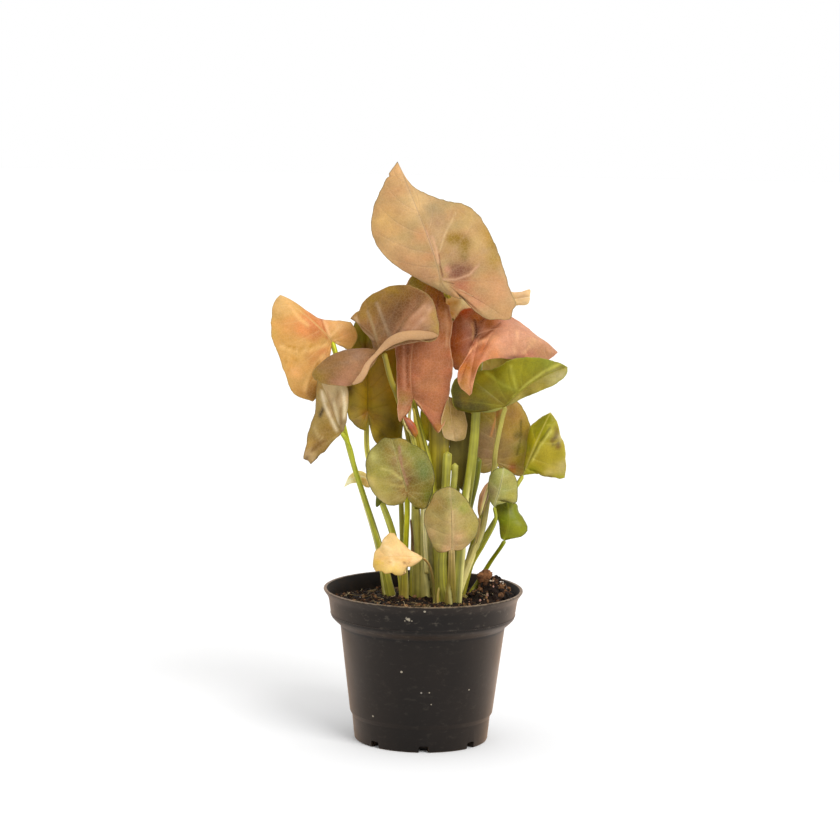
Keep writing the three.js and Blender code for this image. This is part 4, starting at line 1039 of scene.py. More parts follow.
# A leaf's skin: a thin cuticle, softly glossy above and matt below, over tissue with a fine net of
# veinlets. The net's cells are 1.6 mm across, the mottling about 5 mm and the grain under 1 mm.
def leaf_finish(name, slot, veinlet, under, roughness=0.5, net=0.12, mottle=0.09):
    """The finishes of a blade's two faces and its slot, as add_blade takes them."""
    made = []
    for face, base, gloss, threading in (("upper", roughness, 0.26, net),
                                         ("under", roughness + 0.15, 0.18, net * 1.6)):
        material, tree, shader = new_finish(f"leaf_{name}_{face}_cuticle", IOR=1.42,
                                            Specular_IOR_Level=gloss, Subsurface_Weight=0.12,
                                            Subsurface_Radius=(1.0, 0.8, 0.3), Subsurface_Scale=0.001)
        tone = node(tree, "Attribute", attribute_name="tint")
        place = node(tree, "TexCoord").outputs["Object"]
        blotch = node(tree, "TexNoise", {"Vector": place, "Scale": 210, "Detail": 4, "Roughness": 0.6})
        grain = node(tree, "TexNoise", {"Vector": place, "Scale": 1500, "Detail": 2})
        cells = node(tree, "TexVoronoi", {"Vector": place, "Scale": 620}, feature="DISTANCE_TO_EDGE")
        shade = node(tree, "MapRange", {"Value": blotch, "From Min": 0.28, "From Max": 0.72,
                                        "To Min": 1 - mottle * 1.6, "To Max": 1 + mottle * 1.6})
        fine = node(tree, "MapRange", {"Value": grain, "From Min": 0.3, "From Max": 0.7,
                                       "To Min": 1 - mottle, "To Max": 1 + mottle})
        both = node(tree, "Math", {0: shade, 1: fine}, operation="MULTIPLY")
        ground = node(tree, "VectorMath", {0: tone, 3: both}, operation="SCALE")
        threads = node(tree, "MapRange", {"Value": cells, "From Max": 0.11, "To Min": threading,
                                          "To Max": 0})
        colour = node(tree, "Mix", {0: threads, 6: ground, 7: linear(veinlet)}, data_type="RGBA")
        if face == "under":
            colour = node(tree, "Mix", {0: 0.42, 6: colour, 7: linear(under)}, data_type="RGBA")
        rough = node(tree, "MapRange", {"Value": blotch, "From Min": 0.3, "From Max": 0.7,
                                        "To Min": base - 0.06, "To Max": base + 0.08})
        relief = node(tree, "Math", {0: grain, 1: 0.5, 2: threads}, operation="MULTIPLY_ADD")
        bump = node(tree, "Bump", {"Strength": 0.35, "Distance": 0.00016, "Height": relief})
        plug(tree, shader, {"Base Color": colour, "Roughness": rough, "Normal": bump})
        made.append(material)
    return (*made, slot)


gold_leaf = leaf_finish("gold", "blade_gold", "#efd0a0", "#d9b98a", net=0.09, mottle=0.06)

add_blade(
    "leaf_top", gold_leaf,
    joint=(9, -10, 243), middle=(3, -5, 264), tip=(-13.1, 10, 302.8), puff=0.07,
    left=[(14.1, -12.5, 238.6), (19.7, -16, 233.8), (15.1, -13, 234.8), (7.4, -8.5, 238.3),
          (-6, -2, 245), (-16.9, 1, 251.7), (-23.6, 3, 259.6), (-26.5, 5, 267.8), (-24.7, 7, 281.1),
          (-20, 8.6, 290.4), (-18.2, 9, 294.5), (-17.3, 9, 295.4), (-17.4, 9.1, 296.8),
          (-15.3, 9.6, 299.6)],
    right=[(18.2, -14.5, 236.2), (24.3, -18, 230.4), (29.9, -19.5, 225.7), (33, -20, 223.9),
           (38.6, -20, 223.6), (45.1, -19.5, 224.1), (46.3, -18.7, 228.4), (48.1, -17.6, 231.1),
           (45.4, -16, 236.4), (43.4, -13.5, 243.4), (40.3, -10, 253.9), (36.3, -6.5, 263.4),
           (31.7, -3, 272.4), (25, 0.5, 279.4), (20.4, 2.3, 281.4), (11.1, 4, 282.9),
           (-2.9, 7, 288.9), (-9.1, 9, 295)],
    veins=(6, 3), colour="#b39168", vein="#bb9c7d", margin="#786e50", sweep=0.2,
    # Of these patches, the light ones at the lower left, at (-17, 256) and (-4, 248), are painted light
    # over the shade of the blade's ripples.
    patches=[(-13, 298, 8, "#d0a575"), (-20, 272, 9, "#cca56d"), (-17, 256, 7, "#d5ad7b"),
             (-4, 248, 4, "#cca379"), (-3, 281, 8, "#d0ad7d"), (7, 277, 5, "#a78f67"),
             (7, 266, 5, "#b99a75"), (0, 266, 4, "#c09269"), (24, 276, 7, "#b99a66"),
             (33, 267, 5, "#ad8746"), (21.5, 254.5, 2.5, "#947c4e"), (14, 257, 3.2, "#ae8b69"),
             (21, 240, 5, "#a36d50"), (27, 233, 6, "#b98364"), (36, 262, 4, "#a38340"),
             (37, 254, 5, "#a08140"), (34, 245, 4, "#b1875a"), (38, 238, 7, "#c08f67"),
             (43, 227, 6, "#bd9269"), (-9, 252, 6, "#c89a71"), (2, 246, 5, "#bd916d"),
             (12.4, 257.7, 2.4, "#b28e62"), (27.1, 261.4, 3.5, "#ba9a66"),
             (29.2, 254.6, 4, "#ba9468"), (19.7, 247.7, 3.6, "#7b5244"), (16, 246.7, 3.2, "#895c50"),
             (23.9, 248.8, 3.6, "#8f6650"), (12.9, 248.8, 2, "#be8a74"), (20.3, 240.8, 4, "#b2745a"),
             (6, 278.3, 5, "#a6906c"), (7.6, 272.5, 4, "#ae8c6c"), (15, 264.1, 2.8, "#9b7c3c"),
             (18.1, 264.6, 3, "#8b6c2e"), (21.3, 262.5, 3, "#896a2e"), (21.3, 258.8, 2.6, "#957840"),
             (18.7, 248.2, 4.5, "#83584a")],
    # The first stroke is painted shadow in the fold along the midrib.
    strokes=[([(8.4, 256), (9, 251), (10.5, 245)], 0.45, "#71473a"),
             ([(17, 277), (11, 265), (9, 258)], 0.5, "#ccad83"),
             ([(11, 243.5), (17, 243.5), (24, 246), (29, 251)], 0.6, "#c89c81"),
             ([(2, 268), (4, 262), (6, 256)], 0.5, "#cb9f87"),
             ([(8.1, 251.9), (7.1, 258.8), (5, 265.1)], 0.8, "#cea484")],
)
add_blade(
    "leaf_far_left", gold_leaf,
    joint=(-47, 2, 210), middle=(-57, -2, 221), tip=(-74, 4, 234), puff=0.06,
    left=[(-49.9, 1, 207), (-50.5, 0.5, 204.7), (-48.9, 0, 201.6), (-49.9, -0.8, 198.5),
          (-53.8, -2, 194), (-55.6, -2.6, 187.7), (-54.6, -3, 184.1), (-56.7, -3, 179),
          (-60, -3.6, 180.3), (-64.2, -4, 181.6), (-68, -5, 185.2), (-70.8, -6, 192.9),
          (-73.9, -5, 202.1), (-78, -3, 211.8), (-78.7, -1, 218.9), (-78.2, 1.5, 226.5),
          (-76.7, 3, 231)],
    right=[(-44.8, 2.6, 210.9), (-42.7, 3, 209.6), (-40.9, 3.4, 207.2), (-38.3, 4, 205.6),
           (-36, 4.6, 207.9), (-34.2, 5, 211.5), (-35, 5.6, 215.6), (-37, 6, 219.2),
           (-40.9, 6.2, 220), (-46.1, 6, 220.7), (-52.9, 6, 221.6), (-59.2, 6, 225),
           (-65.9, 6, 229.4), (-70.5, 5, 232.4)],
    veins=(4, 3), colour="#cf9f5d", vein="#e3ba7f", margin="#a88c4c", wave=(0.6, 2),
    patches=[(-74, 231, 7, "#d4ac72"), (-76, 215, 6, "#cba35b"), (-58, 220, 6, "#c6814e"),
             (-56, 216, 5, "#c07947"), (-68, 218, 6, "#d4985f"), (-45, 219, 6, "#dcaa72"),
             (-38, 213, 5, "#d29b56"), (-69, 212, 5, "#c49252"), (-65, 203, 7, "#d3a562"),
             (-63, 190, 7, "#c69b5b"), (-56, 186, 4, "#b08547"), (-57, 182, 3, "#99713b"),
             (-55, 201, 5, "#cb9059"), (-55.7, 218.7, 4.5, "#c27444"), (-58.9, 222.9, 3.6, "#cf8350"),
             (-61.9, 217.6, 4, "#d88e58"), (-51.3, 204.4, 2.6, "#d8905c"),
             (-58.7, 183.8, 2.6, "#8a5e30"), (-56.6, 185.9, 2.2, "#a4743c"),
             (-61.9, 183.8, 3, "#c08c4c"), (-66.1, 195.4, 4, "#dca468"),
             (-52.4, 220.3, 2.4, "#dc9060"), (-40.8, 213.9, 4, "#e0a468")],
    # These strokes follow the folds: the pale ones are painted highlights on their ridges, and the darker
    # ones painted shade in the creases beside them.
    strokes=[([(-73.4, 208.1), (-66.1, 205.7), (-57.6, 206.5), (-49.7, 208.6)], 1, "#e4b878"),
             ([(-70.3, 208.6), (-64, 207.1), (-56.6, 208.1)], 0.8, "#b8863e"),
             ([(-51.3, 203.4), (-55.5, 198.6), (-59.5, 191.2), (-61.3, 185.4)], 1.1, "#e6b878"),
             ([(-54, 199.7), (-57.1, 193.9), (-58.7, 188)], 1, "#ac7a3e"),
             ([(-68.7, 228.7), (-64, 222.4), (-59.7, 219.2)], 1, "#e4b274"),
             ([(-52.6, 221.3), (-49.5, 212.3)], 0.9, "#b4643a"),
             ([(-51.1, 220.8), (-48.2, 212.9)], 0.8, "#ecbc8a"),
             ([(-47.6, 213.4), (-42.4, 217.6)], 0.9, "#e8ba80"),
             ([(-70.8, 200.7), (-67.1, 198.6), (-64.5, 202.3)], 0.8, "#bc8c4a"),
             ([(-66.1, 204.9), (-68.2, 199.7), (-69.7, 195.4)], 0.8, "#c8944e")],
)
add_blade(
    "leaf_golden", gold_leaf,
    joint=(23, 16, 217), middle=(36, 14, 227), tip=(56.1, 12, 232.3), puff=0.06,
    left=[(17.9, 5, 220.4), (14.2, 2, 223.3), (12.1, -0.5, 230.3), (12.6, -2.5, 236.2),
          (16.8, 1, 237.5), (22.2, 14, 237.4), (35.2, 13, 236.4), (46.7, 12, 235), (51.4, 12, 235.1),
          (56.2, 12, 236.2), (56.1, 12, 233.9)],
    right=[(27, 16, 215.6), (33.2, 15, 218.4), (40, 14, 223.7), (46.8, 13, 227.5), (50.9, 12.4, 228),
           (55.1, 12, 228.5), (55.9, 12, 230.2)],
    veins=(4, 2), colour="#ecd095", vein="#fff0d1", wave=(0.3, 2),
    patches=[(13.4, 229.8, 3, "#bc7c34"), (15, 224.5, 3, "#c88a40"), (12.4, 235, 2.5, "#cc9650"),
             (17.1, 230.3, 3, "#bc8a48"), (52, 234, 6, "#e8c49a"), (40, 232, 5, "#e0b67c")],
)
add_blade(
    "leaf_withered", gold_leaf,
    joint=(0, -26, 101), middle=(-12, -28, 102), tip=(-25.2, -24, 100.1), puff=0.12,
    left=[(-1.8, -26.8, 99.1), (-6.2, -28.2, 96.7), (-7.5, -28.4, 97), (-9.4, -29, 95.3),
          (-8.8, -29.5, 92.9), (-12.9, -30, 91.9), (-16.2, -29.6, 93.6), (-18.8, -29, 93.2),
          (-21.6, -28, 94.6), (-23.7, -27, 93.6), (-25.4, -25.5, 96.2)],
    right=[(-4.4, -25.4, 103.5), (-7.2, -24.8, 104.7), (-9.5, -24.2, 106.7), (-11.1, -23.6, 109.5),
           (-13.4, -23, 111), (-15.5, -22.4, 113), (-18.3, -22, 111.2), (-20.9, -22, 109),
           (-22.5, -22.4, 105.6), (-24.5, -23, 103.4)],
    veins=(3, 2), colour="#ebc788", vein="#f0cc8c", margin="#cea55e", wave=(1, 4),
    patches=[(-16, 108, 4, "#ecc688"), (-21, 103, 3, "#e6bc80"), (-13, 102, 4, "#f4cc98"),
             (-4, 102, 3, "#f0ca98"), (-24, 98, 3.5, "#d4b050"), (-21, 93, 3, "#dcb858"),
             (-14, 95, 3.5, "#f0cc78"), (-9, 99, 0.9, "#7a5a34"), (-17, 99, 0.8, "#c49858"),
             (-12, 91, 1.5, "#e8c460")],
    strokes=[([(-24, 100), (-16, 101), (-8, 100)], 0.8, "#dcb070"),
             ([(-20, 110), (-17, 104), (-15, 98)], 0.8, "#f8d8a8")],
)
add_blade(
    "leaf_scrap", gold_leaf,
    joint=(-26.5, 7, 134), middle=(-33, 6, 138.5), tip=(-41, 5, 133), puff=0.1,
    left=[(-29, 6.5, 132), (-33, 6, 135), (-37, 5, 135)],
    right=[(-28, 7.5, 138), (-33, 8, 141), (-38, 7, 139)],
    veins=(2, 1), colour="#f8df92", vein="#fffdd5", wave=(0.6, 2),
    patches=[(-39, 136, 2, "#ffffdb"), (-31, 137, 2, "#deb965")],
)

# ---- Brown and mauve leaves --------------------------------------------------------------------
# Leaves on the turn from pink to brown, with pale veins. The front one rolls its lower margin over,
# and the left one droops with one half folded forward.
brown_leaf = leaf_finish("brown", "blade_brown", "#c0a078", "#c9a27a")

add_blade(
    "leaf_curled", brown_leaf,
    joint=(-22, -16, 206), middle=(-26, -13, 215), tip=(-37.2, -8, 223), puff=0.1,
    left=[(-24.9, -19, 201.1), (-28.5, -21.6, 196.5), (-32, -23.4, 192.3), (-37.1, -25, 189.9),
          (-42.7, -26.3, 190.1), (-49.3, -27, 191), (-54.2, -27, 192.8), (-56.3, -26.6, 196.3),
          (-51.2, -23.5, 202.1), (-44.9, -19, 205.9), (-37.3, -14, 207.8), (-31.2, -11.5, 207.3),
          (-26.6, -9.5, 206.5), (-25.4, -6, 209.5), (-26.2, -4.6, 213), (-31.1, -5, 217),
          (-33.9, -6.6, 221.3)],
    right=[(-18.2, -19, 207.8), (-11, -20, 211.6), (-3.8, -20, 213.4), (3.8, -19, 212),
           (7.7, -17.4, 213.9), (8.5, -16, 218.9), (7.4, -14.4, 225.9), (5.4, -12.5, 232.5),
           (2.3, -10.5, 235.4), (-1.8, -9, 238.1), (-9.6, -6.4, 240.2), (-15.3, -5, 239.9),
           (-22, -4, 237.4), (-26.6, -4, 234.8), (-30.5, -5, 230.7), (-32.6, -6.4, 226.7),
           (-34.6, -7.2, 225.7)],
    veins=(5, 3), colour="#876142", vein="#987a61", margin="#967e50", wave=(0.4, 3), bay=13,
    patches=[(-16, 239, 6, "#96742d"), (-9, 234, 6, "#775625"), (0, 233, 6, "#754e2d"),
             (-27, 233, 6, "#8e6e29"), (-31, 226, 5, "#9a763c"), (-23, 228, 5, "#7b5b34"),
             (-19, 222, 4, "#7b5b45"), (-13, 226, 7, "#684631"), (-6, 229, 6, "#6c4631"),
             (-14, 217, 5, "#775442"), (-3, 224, 4, "#a27055"), (4, 230, 4, "#a2785a"),
             (3, 222, 5, "#ad8264"), (7, 225, 4, "#a2804b"), (8, 219, 3, "#aa894b"),
             (-5, 218, 4, "#b18266"), (-14, 210, 3, "#966e5a"), (-45, 199, 8, "#856340"),
             (-54, 194, 5, "#876b34"), (-33, 207, 5, "#8e6b57"), (-38, 196, 6, "#a2745a"),
             (-42, 190, 4, "#aa7a66"), (-50, 189, 3, "#9a764b")],
    # The first two strokes are painted highlights: short pale streaks where light catches the blade.
    strokes=[([(-23.4, 230.8), (-20.8, 224.5), (-18.2, 218.1), (-16.1, 213.4)], 0.8, "#967e66"),
             ([(-28.2, 226.6), (-25.5, 219.7), (-23.4, 212.9)], 0.8, "#9a8362"),
             ([(1.3, 230.8), (-5, 224), (-11.9, 215.5)], 0.8, "#b98d71"),
             ([(3.9, 228.2), (-1.3, 221.8), (-7.1, 216)], 0.8, "#bd9379"),
             ([(-2.9, 232.4), (-9.2, 225), (-15, 216)], 0.8, "#8e6349"),
             ([(-34.5, 223.4), (-31.9, 217.6), (-25.5, 212.9)], 0.8, "#b99c7c")],
)
add_blade(
    "leaf_drooping", brown_leaf,
    joint=(-42, -10, 164), middle=(-47, -13, 177), tip=(-54, -12, 195), puff=0.08,
    left=[(-47.2, -9, 159.5), (-52.2, -8.2, 154.7), (-53.5, -7.6, 151.2), (-56.4, -6.8, 149.5),
          (-57.8, -6, 146.2), (-59.9, -5.4, 148), (-62.3, -5, 149.5), (-60.8, -5, 154),
          (-59.5, -5, 159.2), (-58.3, -6, 165.7), (-56.8, -7, 172.1), (-55.5, -7.6, 178.4),
          (-54.6, -9, 185.4)],
    right=[(-39.5, -15, 169), (-38.6, -17.5, 175.6), (-38.3, -18.5, 181.9), (-38.6, -18.5, 188.1),
           (-41.4, -17, 192.6), (-48.7, -14.5, 194.4)],
    veins=(4, 2), colour="#9f834b", vein="#b89f6d", margin="#6f5a34", other="#c0a87e",
    wave=(0.8, 3), ragged=0.4,
    patches=[(-54, 177, 6, "#9c824a"), (-50, 171, 5, "#9a8048"), (-46, 165, 4, "#8c753a"),
             (-57, 163, 5, "#967c46"), (-55, 158, 4, "#8c6a40"), (-60, 150, 3, "#b09060"),
             (-49.2, 182.8, 3, "#d2ba92"), (-44.5, 181.7, 3.6, "#b8a07c"),
             (-47.1, 175.4, 2.8, "#c0a27a"), (-41.9, 176.4, 3, "#b09872"),
             (-41.3, 169.6, 3, "#96805a"), (-55, 166.4, 4, "#a48c54"), (-48.7, 165.9, 4, "#93733a"),
             (-52.4, 158, 3.6, "#8a6c3e"), (-59.2, 158, 2.6, "#ac8c4e"), (-59.5, 150, 1.5, "#4a3014"),
             (-57.9, 152.4, 2, "#c4a67a"), (-56.1, 149.5, 2.4, "#b89c70"),
             (-59.2, 146.3, 2.2, "#a88458"), (-62.6, 149, 1.4, "#6a4a2c"),
             (-61.3, 152.1, 1.8, "#b89c74")],
    strokes=[([(-51.9, 185.4), (-50.3, 178), (-47.6, 172.2), (-44.5, 165.3)], 0.9, "#e6d6b6"),
             ([(-49, 184.9), (-47.1, 178.5), (-46.1, 172.7)], 0.9, "#a48660"),
             ([(-43.2, 185.9), (-44.5, 180.7), (-46.6, 177)], 0.9, "#9c8058"),
             ([(-45.5, 180.1), (-44.2, 173.8), (-43.1, 168.5)], 0.8, "#dccaa4"),
             ([(-42.1, 177.5), (-41.9, 172.2), (-42.4, 167.5)], 0.9, "#92764e"),
             ([(-40.6, 185.4), (-39.9, 178.5), (-40.4, 172.7)], 0.8, "#e6d8b8"),
             ([(-51.5, 176.2), (-52.9, 172.5)], 1, "#241608"),
             ([(-56.1, 166.9), (-54.5, 162.2), (-51.3, 160.1)], 0.8, "#b8a06c"),
             ([(-57.6, 153.7), (-55, 156.4), (-50.3, 160.1)], 0.9, "#7c5c34")],
)
add_blade(
    "leaf_tan", brown_leaf,
    joint=(39, 20, 144), middle=(39, 20, 158), tip=(38, 24, 183), puff=0.07,
    left=[(36.2, 19, 139.3), (30.9, 19, 138.2), (25.1, 19, 140.9), (18.7, 19, 145.7),
          (14.5, 19, 152.1), (13.4, 19, 160.1), (15.5, 20, 166.4), (20.8, 21, 174.3), (28.2, 22, 180)],
    right=[(41, 20.4, 140.2), (44.7, 21, 137.9), (49, 22, 136.7), (52.7, 22.4, 136.6),
           (54.8, 23, 140.3), (56.4, 23, 147.3), (57.4, 24, 157.8), (55.5, 24, 166.9),
           (51, 24, 174.9), (46.2, 24, 179.7)],
    veins=(5, 3), colour="#a58e4b", vein="#b79e63", margin="#796d27",
    patches=[(31, 168, 5, "#908120"), (37, 170, 5, "#99852c"), (48, 169, 5, "#b48e3c"),
             (54, 162, 4, "#9d8134"), (45, 163, 5, "#ab893e"), (41, 153, 5, "#9e8552"),
             (32, 157, 4, "#a78e5c"), (29, 155, 4, "#9e856b"), (21, 153, 5, "#927c3c"),
             (45, 146, 5, "#a28e4d"), (36, 144, 4, "#a78e63"), (51, 158, 2.5, "#675910"),
             (50.5, 150, 2.5, "#6d6011"), (48, 140, 2.5, "#b46f30"), (26, 164, 5, "#857616"),
             (18, 160, 4, "#83761a"), (35, 158.5, 6, "#8e7250"), (29.2, 153.2, 6, "#8c7250"),
             (43.4, 146.9, 5, "#94784e"), (33.9, 149.5, 4, "#9c7c60"), (20.8, 158.5, 5, "#7a6414"),
             (46.6, 143.7, 3, "#a08040"), (50.8, 144.8, 3.4, "#96821e"), (52.4, 150, 3, "#948628"),
             (40.8, 150, 3.5, "#987c4c"), (30.8, 153.2, 3.5, "#a08058"), (47.6, 141.6, 2, "#8c4c20"),
             (40.8, 171.7, 4, "#a8804a"), (47.1, 169, 4, "#a07c46")],
    strokes=[([(40, 171), (38, 165), (36, 158)], 0.6, "#c88952"),
             ([(52, 166), (52, 158), (50, 148)], 0.6, "#615512")],
)
add_blade(
    "leaf_back_left", brown_leaf,
    joint=(-12, 38, 180), middle=(-14, 44, 196), tip=(-19, 47, 221), puff=-0.1,
    left=[(-16, 38, 174), (-22, 38, 172), (-29, 37, 178), (-32, 38, 188), (-31, 40, 199),
          (-27, 43, 211)],
    right=[(-9, 38, 174), (-4, 37, 171), (3, 36, 177), (5, 37, 188), (2, 40, 200), (-6, 44, 212)],
    veins=(5, 3), colour="#9a7c4c", vein="#b89a6c", wave=(0.8, 3),
    patches=[(-14, 195, 7, "#a8826a"), (-26, 182, 6, "#8e7640"), (-2, 180, 6, "#92783e"),
             (-19, 214, 7, "#a98a54")],
)
# The folded leaf's lower margin is rolled over, and its paler underside runs on as the edge of the lobe.
ROLLED_MARGIN = [(7.9, -17.8, 214.9, 0.5), (4.9, -19, 215.3, 1.8), (-1.3, -20.6, 215.6, 2.5),
                 (-7.3, -21.2, 215.6, 2.4), (-11.8, -21.2, 214.5, 2.6), (-16.4, -20.8, 212.3, 2.3),
                 (-20.1, -20.4, 209.2, 1.6), (-23.9, -20.6, 205.4, 1.05), (-27.6, -21.8, 201.4, 1.3),
                 (-30.2, -23, 197.2, 2.3), (-32.7, -24.2, 193.7, 2.4), (-35.8, -25.4, 191, 0.7)]
ROLL_HEIGHT = 1.6  # times its depth
path, width = path_and_width(ROLLED_MARGIN)
hem = add_tube("leaf_curled", path, lambda t: width(t) / ROLL_HEIGHT,
               ("#9c7654", "#a88262", "#a27a56", "#a67e56", "#86603c"),
               seam=200, depth=ROLL_HEIGHT, axis=(0, 1, 0), pitch=0.7)
join_up("leaf_curled_margin", [hem], brown_leaf[1], "leaf_curled")

# ---- Olive leaves ------------------------------------------------------------------------------
# Dark, fully green leaves in the shade of the others, a little glossier.
olive_leaf = leaf_finish("olive", "blade_olive", "#8c7c34", "#837a38", roughness=0.44, net=0.08)

# This leaf's colours are painted lighter, as painted light that offsets the shade the leaves in front cast
# on it.
add_blade(
    "leaf_olive", olive_leaf,
    joint=(-29, 12, 172), middle=(-29, 10, 191), tip=(-31, 14, 226), puff=0.1,
    left=[(-29, 11, 166), (-30, 10, 162), (-35, 9, 165), (-39, 8, 170), (-40, 8, 179), (-40, 8, 189),
          (-38, 9, 202), (-37, 11, 215)],
    right=[(-28, 12, 165), (-25, 13, 156), (-18, 13, 153), (-12, 13, 158), (-10, 13, 167),
           (-10, 13, 181), (-11, 13, 196), (-15, 14, 212), (-22, 14, 223)],
    veins=(6, 3), colour="#947c1b", vein="#82682a", margin="#626015", wave=(0.6, 3),
    patches=[(-39, 178, 5, "#b6a234"), (-36, 169, 5, "#c1aa4b"), (-32, 181, 5, "#ab8b28"),
             (-25, 188, 7, "#94711a"), (-18, 178, 7, "#967a0f"), (-18, 165, 7, "#877106"),
             (-14, 203, 8, "#956f10"), (-15, 185, 5, "#b58a30"), (-26, 162, 4, "#bca034"),
             (-34, 212, 8, "#77711f"), (-30, 171, 2.5, "#a77838"), (-37.1, 174.3, 3.5, "#8a7040"),
             (-35, 166.4, 4, "#8c7448"), (-38.7, 179.6, 3, "#7c6a2c"), (-37.1, 177.5, 3.5, "#98843c"),
             (-28.7, 204.9, 4, "#6c4a1c"), (-22.4, 208.6, 4, "#644608"),
             (-24.5, 168.5, 3.5, "#8c6c2c"), (-16.6, 165.3, 4, "#6a580e"),
             (-20.3, 160.1, 4, "#705e12"), (-38.2, 184.4, 3, "#54400e")],
)
add_blade(
    "leaf_inner", olive_leaf,
    joint=(4, 6, 157), middle=(4, 5, 171), tip=(4, 8, 186), puff=0.1,
    left=[(2, 6, 158), (0, 6, 164), (-1, 6, 172), (1, 7, 181)],
    right=[(7, 6, 158), (10, 6, 165), (11, 7, 173), (9, 8, 181)],
    veins=(4, 2), colour="#aaa011", vein="#cbbe2e", margin="#7d790d", wave=(0.5, 2),
    patches=[(3, 168, 5, "#b9a20c"), (5, 180, 5, "#bfad11")],
)
add_blade(
    "leaf_back_right", olive_leaf,
    joint=(34, 42, 171), middle=(36, 48, 185), tip=(39, 50, 208), puff=-0.1,
    left=[(31, 42, 166), (26, 41, 164), (20, 40, 169), (19, 40, 180), (22, 43, 191), (29, 47, 201)],
    right=[(37, 42, 166), (42, 40, 164), (48, 38, 170), (50, 38, 181), (49, 41, 192), (45, 46, 201)],
    veins=(5, 3), colour="#9e8c39", vein="#bfac60", margin="#786f33", wave=(0.8, 3),
    patches=[(36, 186, 7, "#ad845c"), (24, 174, 6, "#8f8633"), (46, 176, 6, "#978c2e"),
             (39, 202, 6, "#aa9a4e")],
)
# A lobe of the tan leaf beside it hangs in the shade behind the middle stalks, and is painted dark olive,
# far darker than its leaf: painted shade.
add_blade(
    "leaf_tan_lobe", olive_leaf,
    joint=(21, 7, 176), middle=(21, 6.5, 152), tip=(21.5, 5, 130), puff=0.08,
    left=[(17, 6.5, 172), (14.4, 6.2, 158), (14.2, 6, 146), (17, 5.6, 136)],
    right=[(26, 6.5, 170), (28, 6.2, 156), (27.6, 6, 144), (25, 5.6, 135)],
    veins=(4, 1), colour="#52440a", vein="#63561a", margin="#4a3e06", wave=(0.3, 2), in_frame=False,
    patches=[(18, 164, 4, "#5f5008"), (20, 139, 6, "#74680c"), (24, 152, 5, "#4c3e04")],
)

# ---- Pink leaves -------------------------------------------------------------------------------
# The two youngest open leaves, terracotta and salmon pink, with their basal lobes folded.
pink_leaf = leaf_finish("pink", "blade_pink", "#e3b090", "#c9a070", roughness=0.48)

add_blade(
    "leaf_pink", pink_leaf,
    joint=(-5, -3, 181), middle=(-5, -6, 209), tip=(5, 4, 246), puff=0.09,
    left=[(-7, -4.6, 177.5), (-8.9, -5.6, 173), (-10.7, -6.8, 169.7), (-12, -7, 169.2),
          (-13, -6, 175.1), (-13.3, -5, 188), (-13.8, -4, 201), (-14.8, -2, 213.8), (-12.7, 1, 228.1),
          (-9.1, 3, 238.8), (-3.9, 4, 245)],
    right=[(-1.3, -4.2, 178), (2.8, -5.8, 173.5), (6.2, -7.2, 167.9), (8.3, -8, 163.3),
           (11.1, -7, 167.9), (13.5, -6, 178.8), (14.8, -5, 190.1), (15.6, -4, 198.9),
           (14.2, -4, 206.2), (14.1, -3, 211.8), (15.6, -2, 219), (14.2, 0, 227.7), (11.4, 3, 237.3)],
    veins=(6, 3), colour="#a8694d", vein="#b07857", margin="#c79c7c",
    patches=[(-1, 241, 5, "#867a0d"), (-6, 246, 5, "#8c840d"), (7, 236, 4, "#80511d"),
             (10, 229, 5, "#84512c"), (9, 222, 5, "#985d36"), (13, 216, 5, "#a86e45"),
             (11, 211, 5, "#a46740"), (0, 211, 6, "#9c5d3c"), (-8, 205, 6, "#8e5132"),
             (-11, 192, 6, "#9c5d43"), (4, 199, 7, "#ac6e4d"), (5, 187, 6, "#b07451"),
             (9, 177, 5, "#a86b49"), (10, 168, 4, "#9c5d47"), (-10, 181, 4, "#967243"),
             (-11, 173, 3, "#b88a66"), (-4.5, 240.8, 3.5, "#88760a"), (9.7, 216.6, 5, "#a06e4c"),
             (5.5, 208.6, 6, "#a66a4e"), (-0.8, 240.3, 3, "#8c740c"), (3.9, 237.7, 3.2, "#a06c1e"),
             (7.6, 232.9, 3.2, "#a0602a"), (9.7, 226.1, 3.4, "#9c6034"), (8.1, 165.9, 3.4, "#9c6836"),
             (11.8, 212.3, 4, "#985a38"), (-1.3, 242.4, 2.6, "#92760a")],
    # The two dark strokes are painted shade in creases of the blade.
    strokes=[([(-7.6, 208.6), (-7.9, 198.1), (-7.6, 187.5)], 0.9, "#7c462e"),
             ([(8.1, 233.5), (7.1, 226.1), (8.7, 216.6)], 0.8, "#7a4420"),
             ([(11.8, 226.1), (12.9, 219.2), (12.4, 208.6)], 0.9, "#b88460"),
             ([(-9.7, 208.6), (-9.7, 196.5), (-9.2, 185.9)], 0.8, "#b47a60")],
)
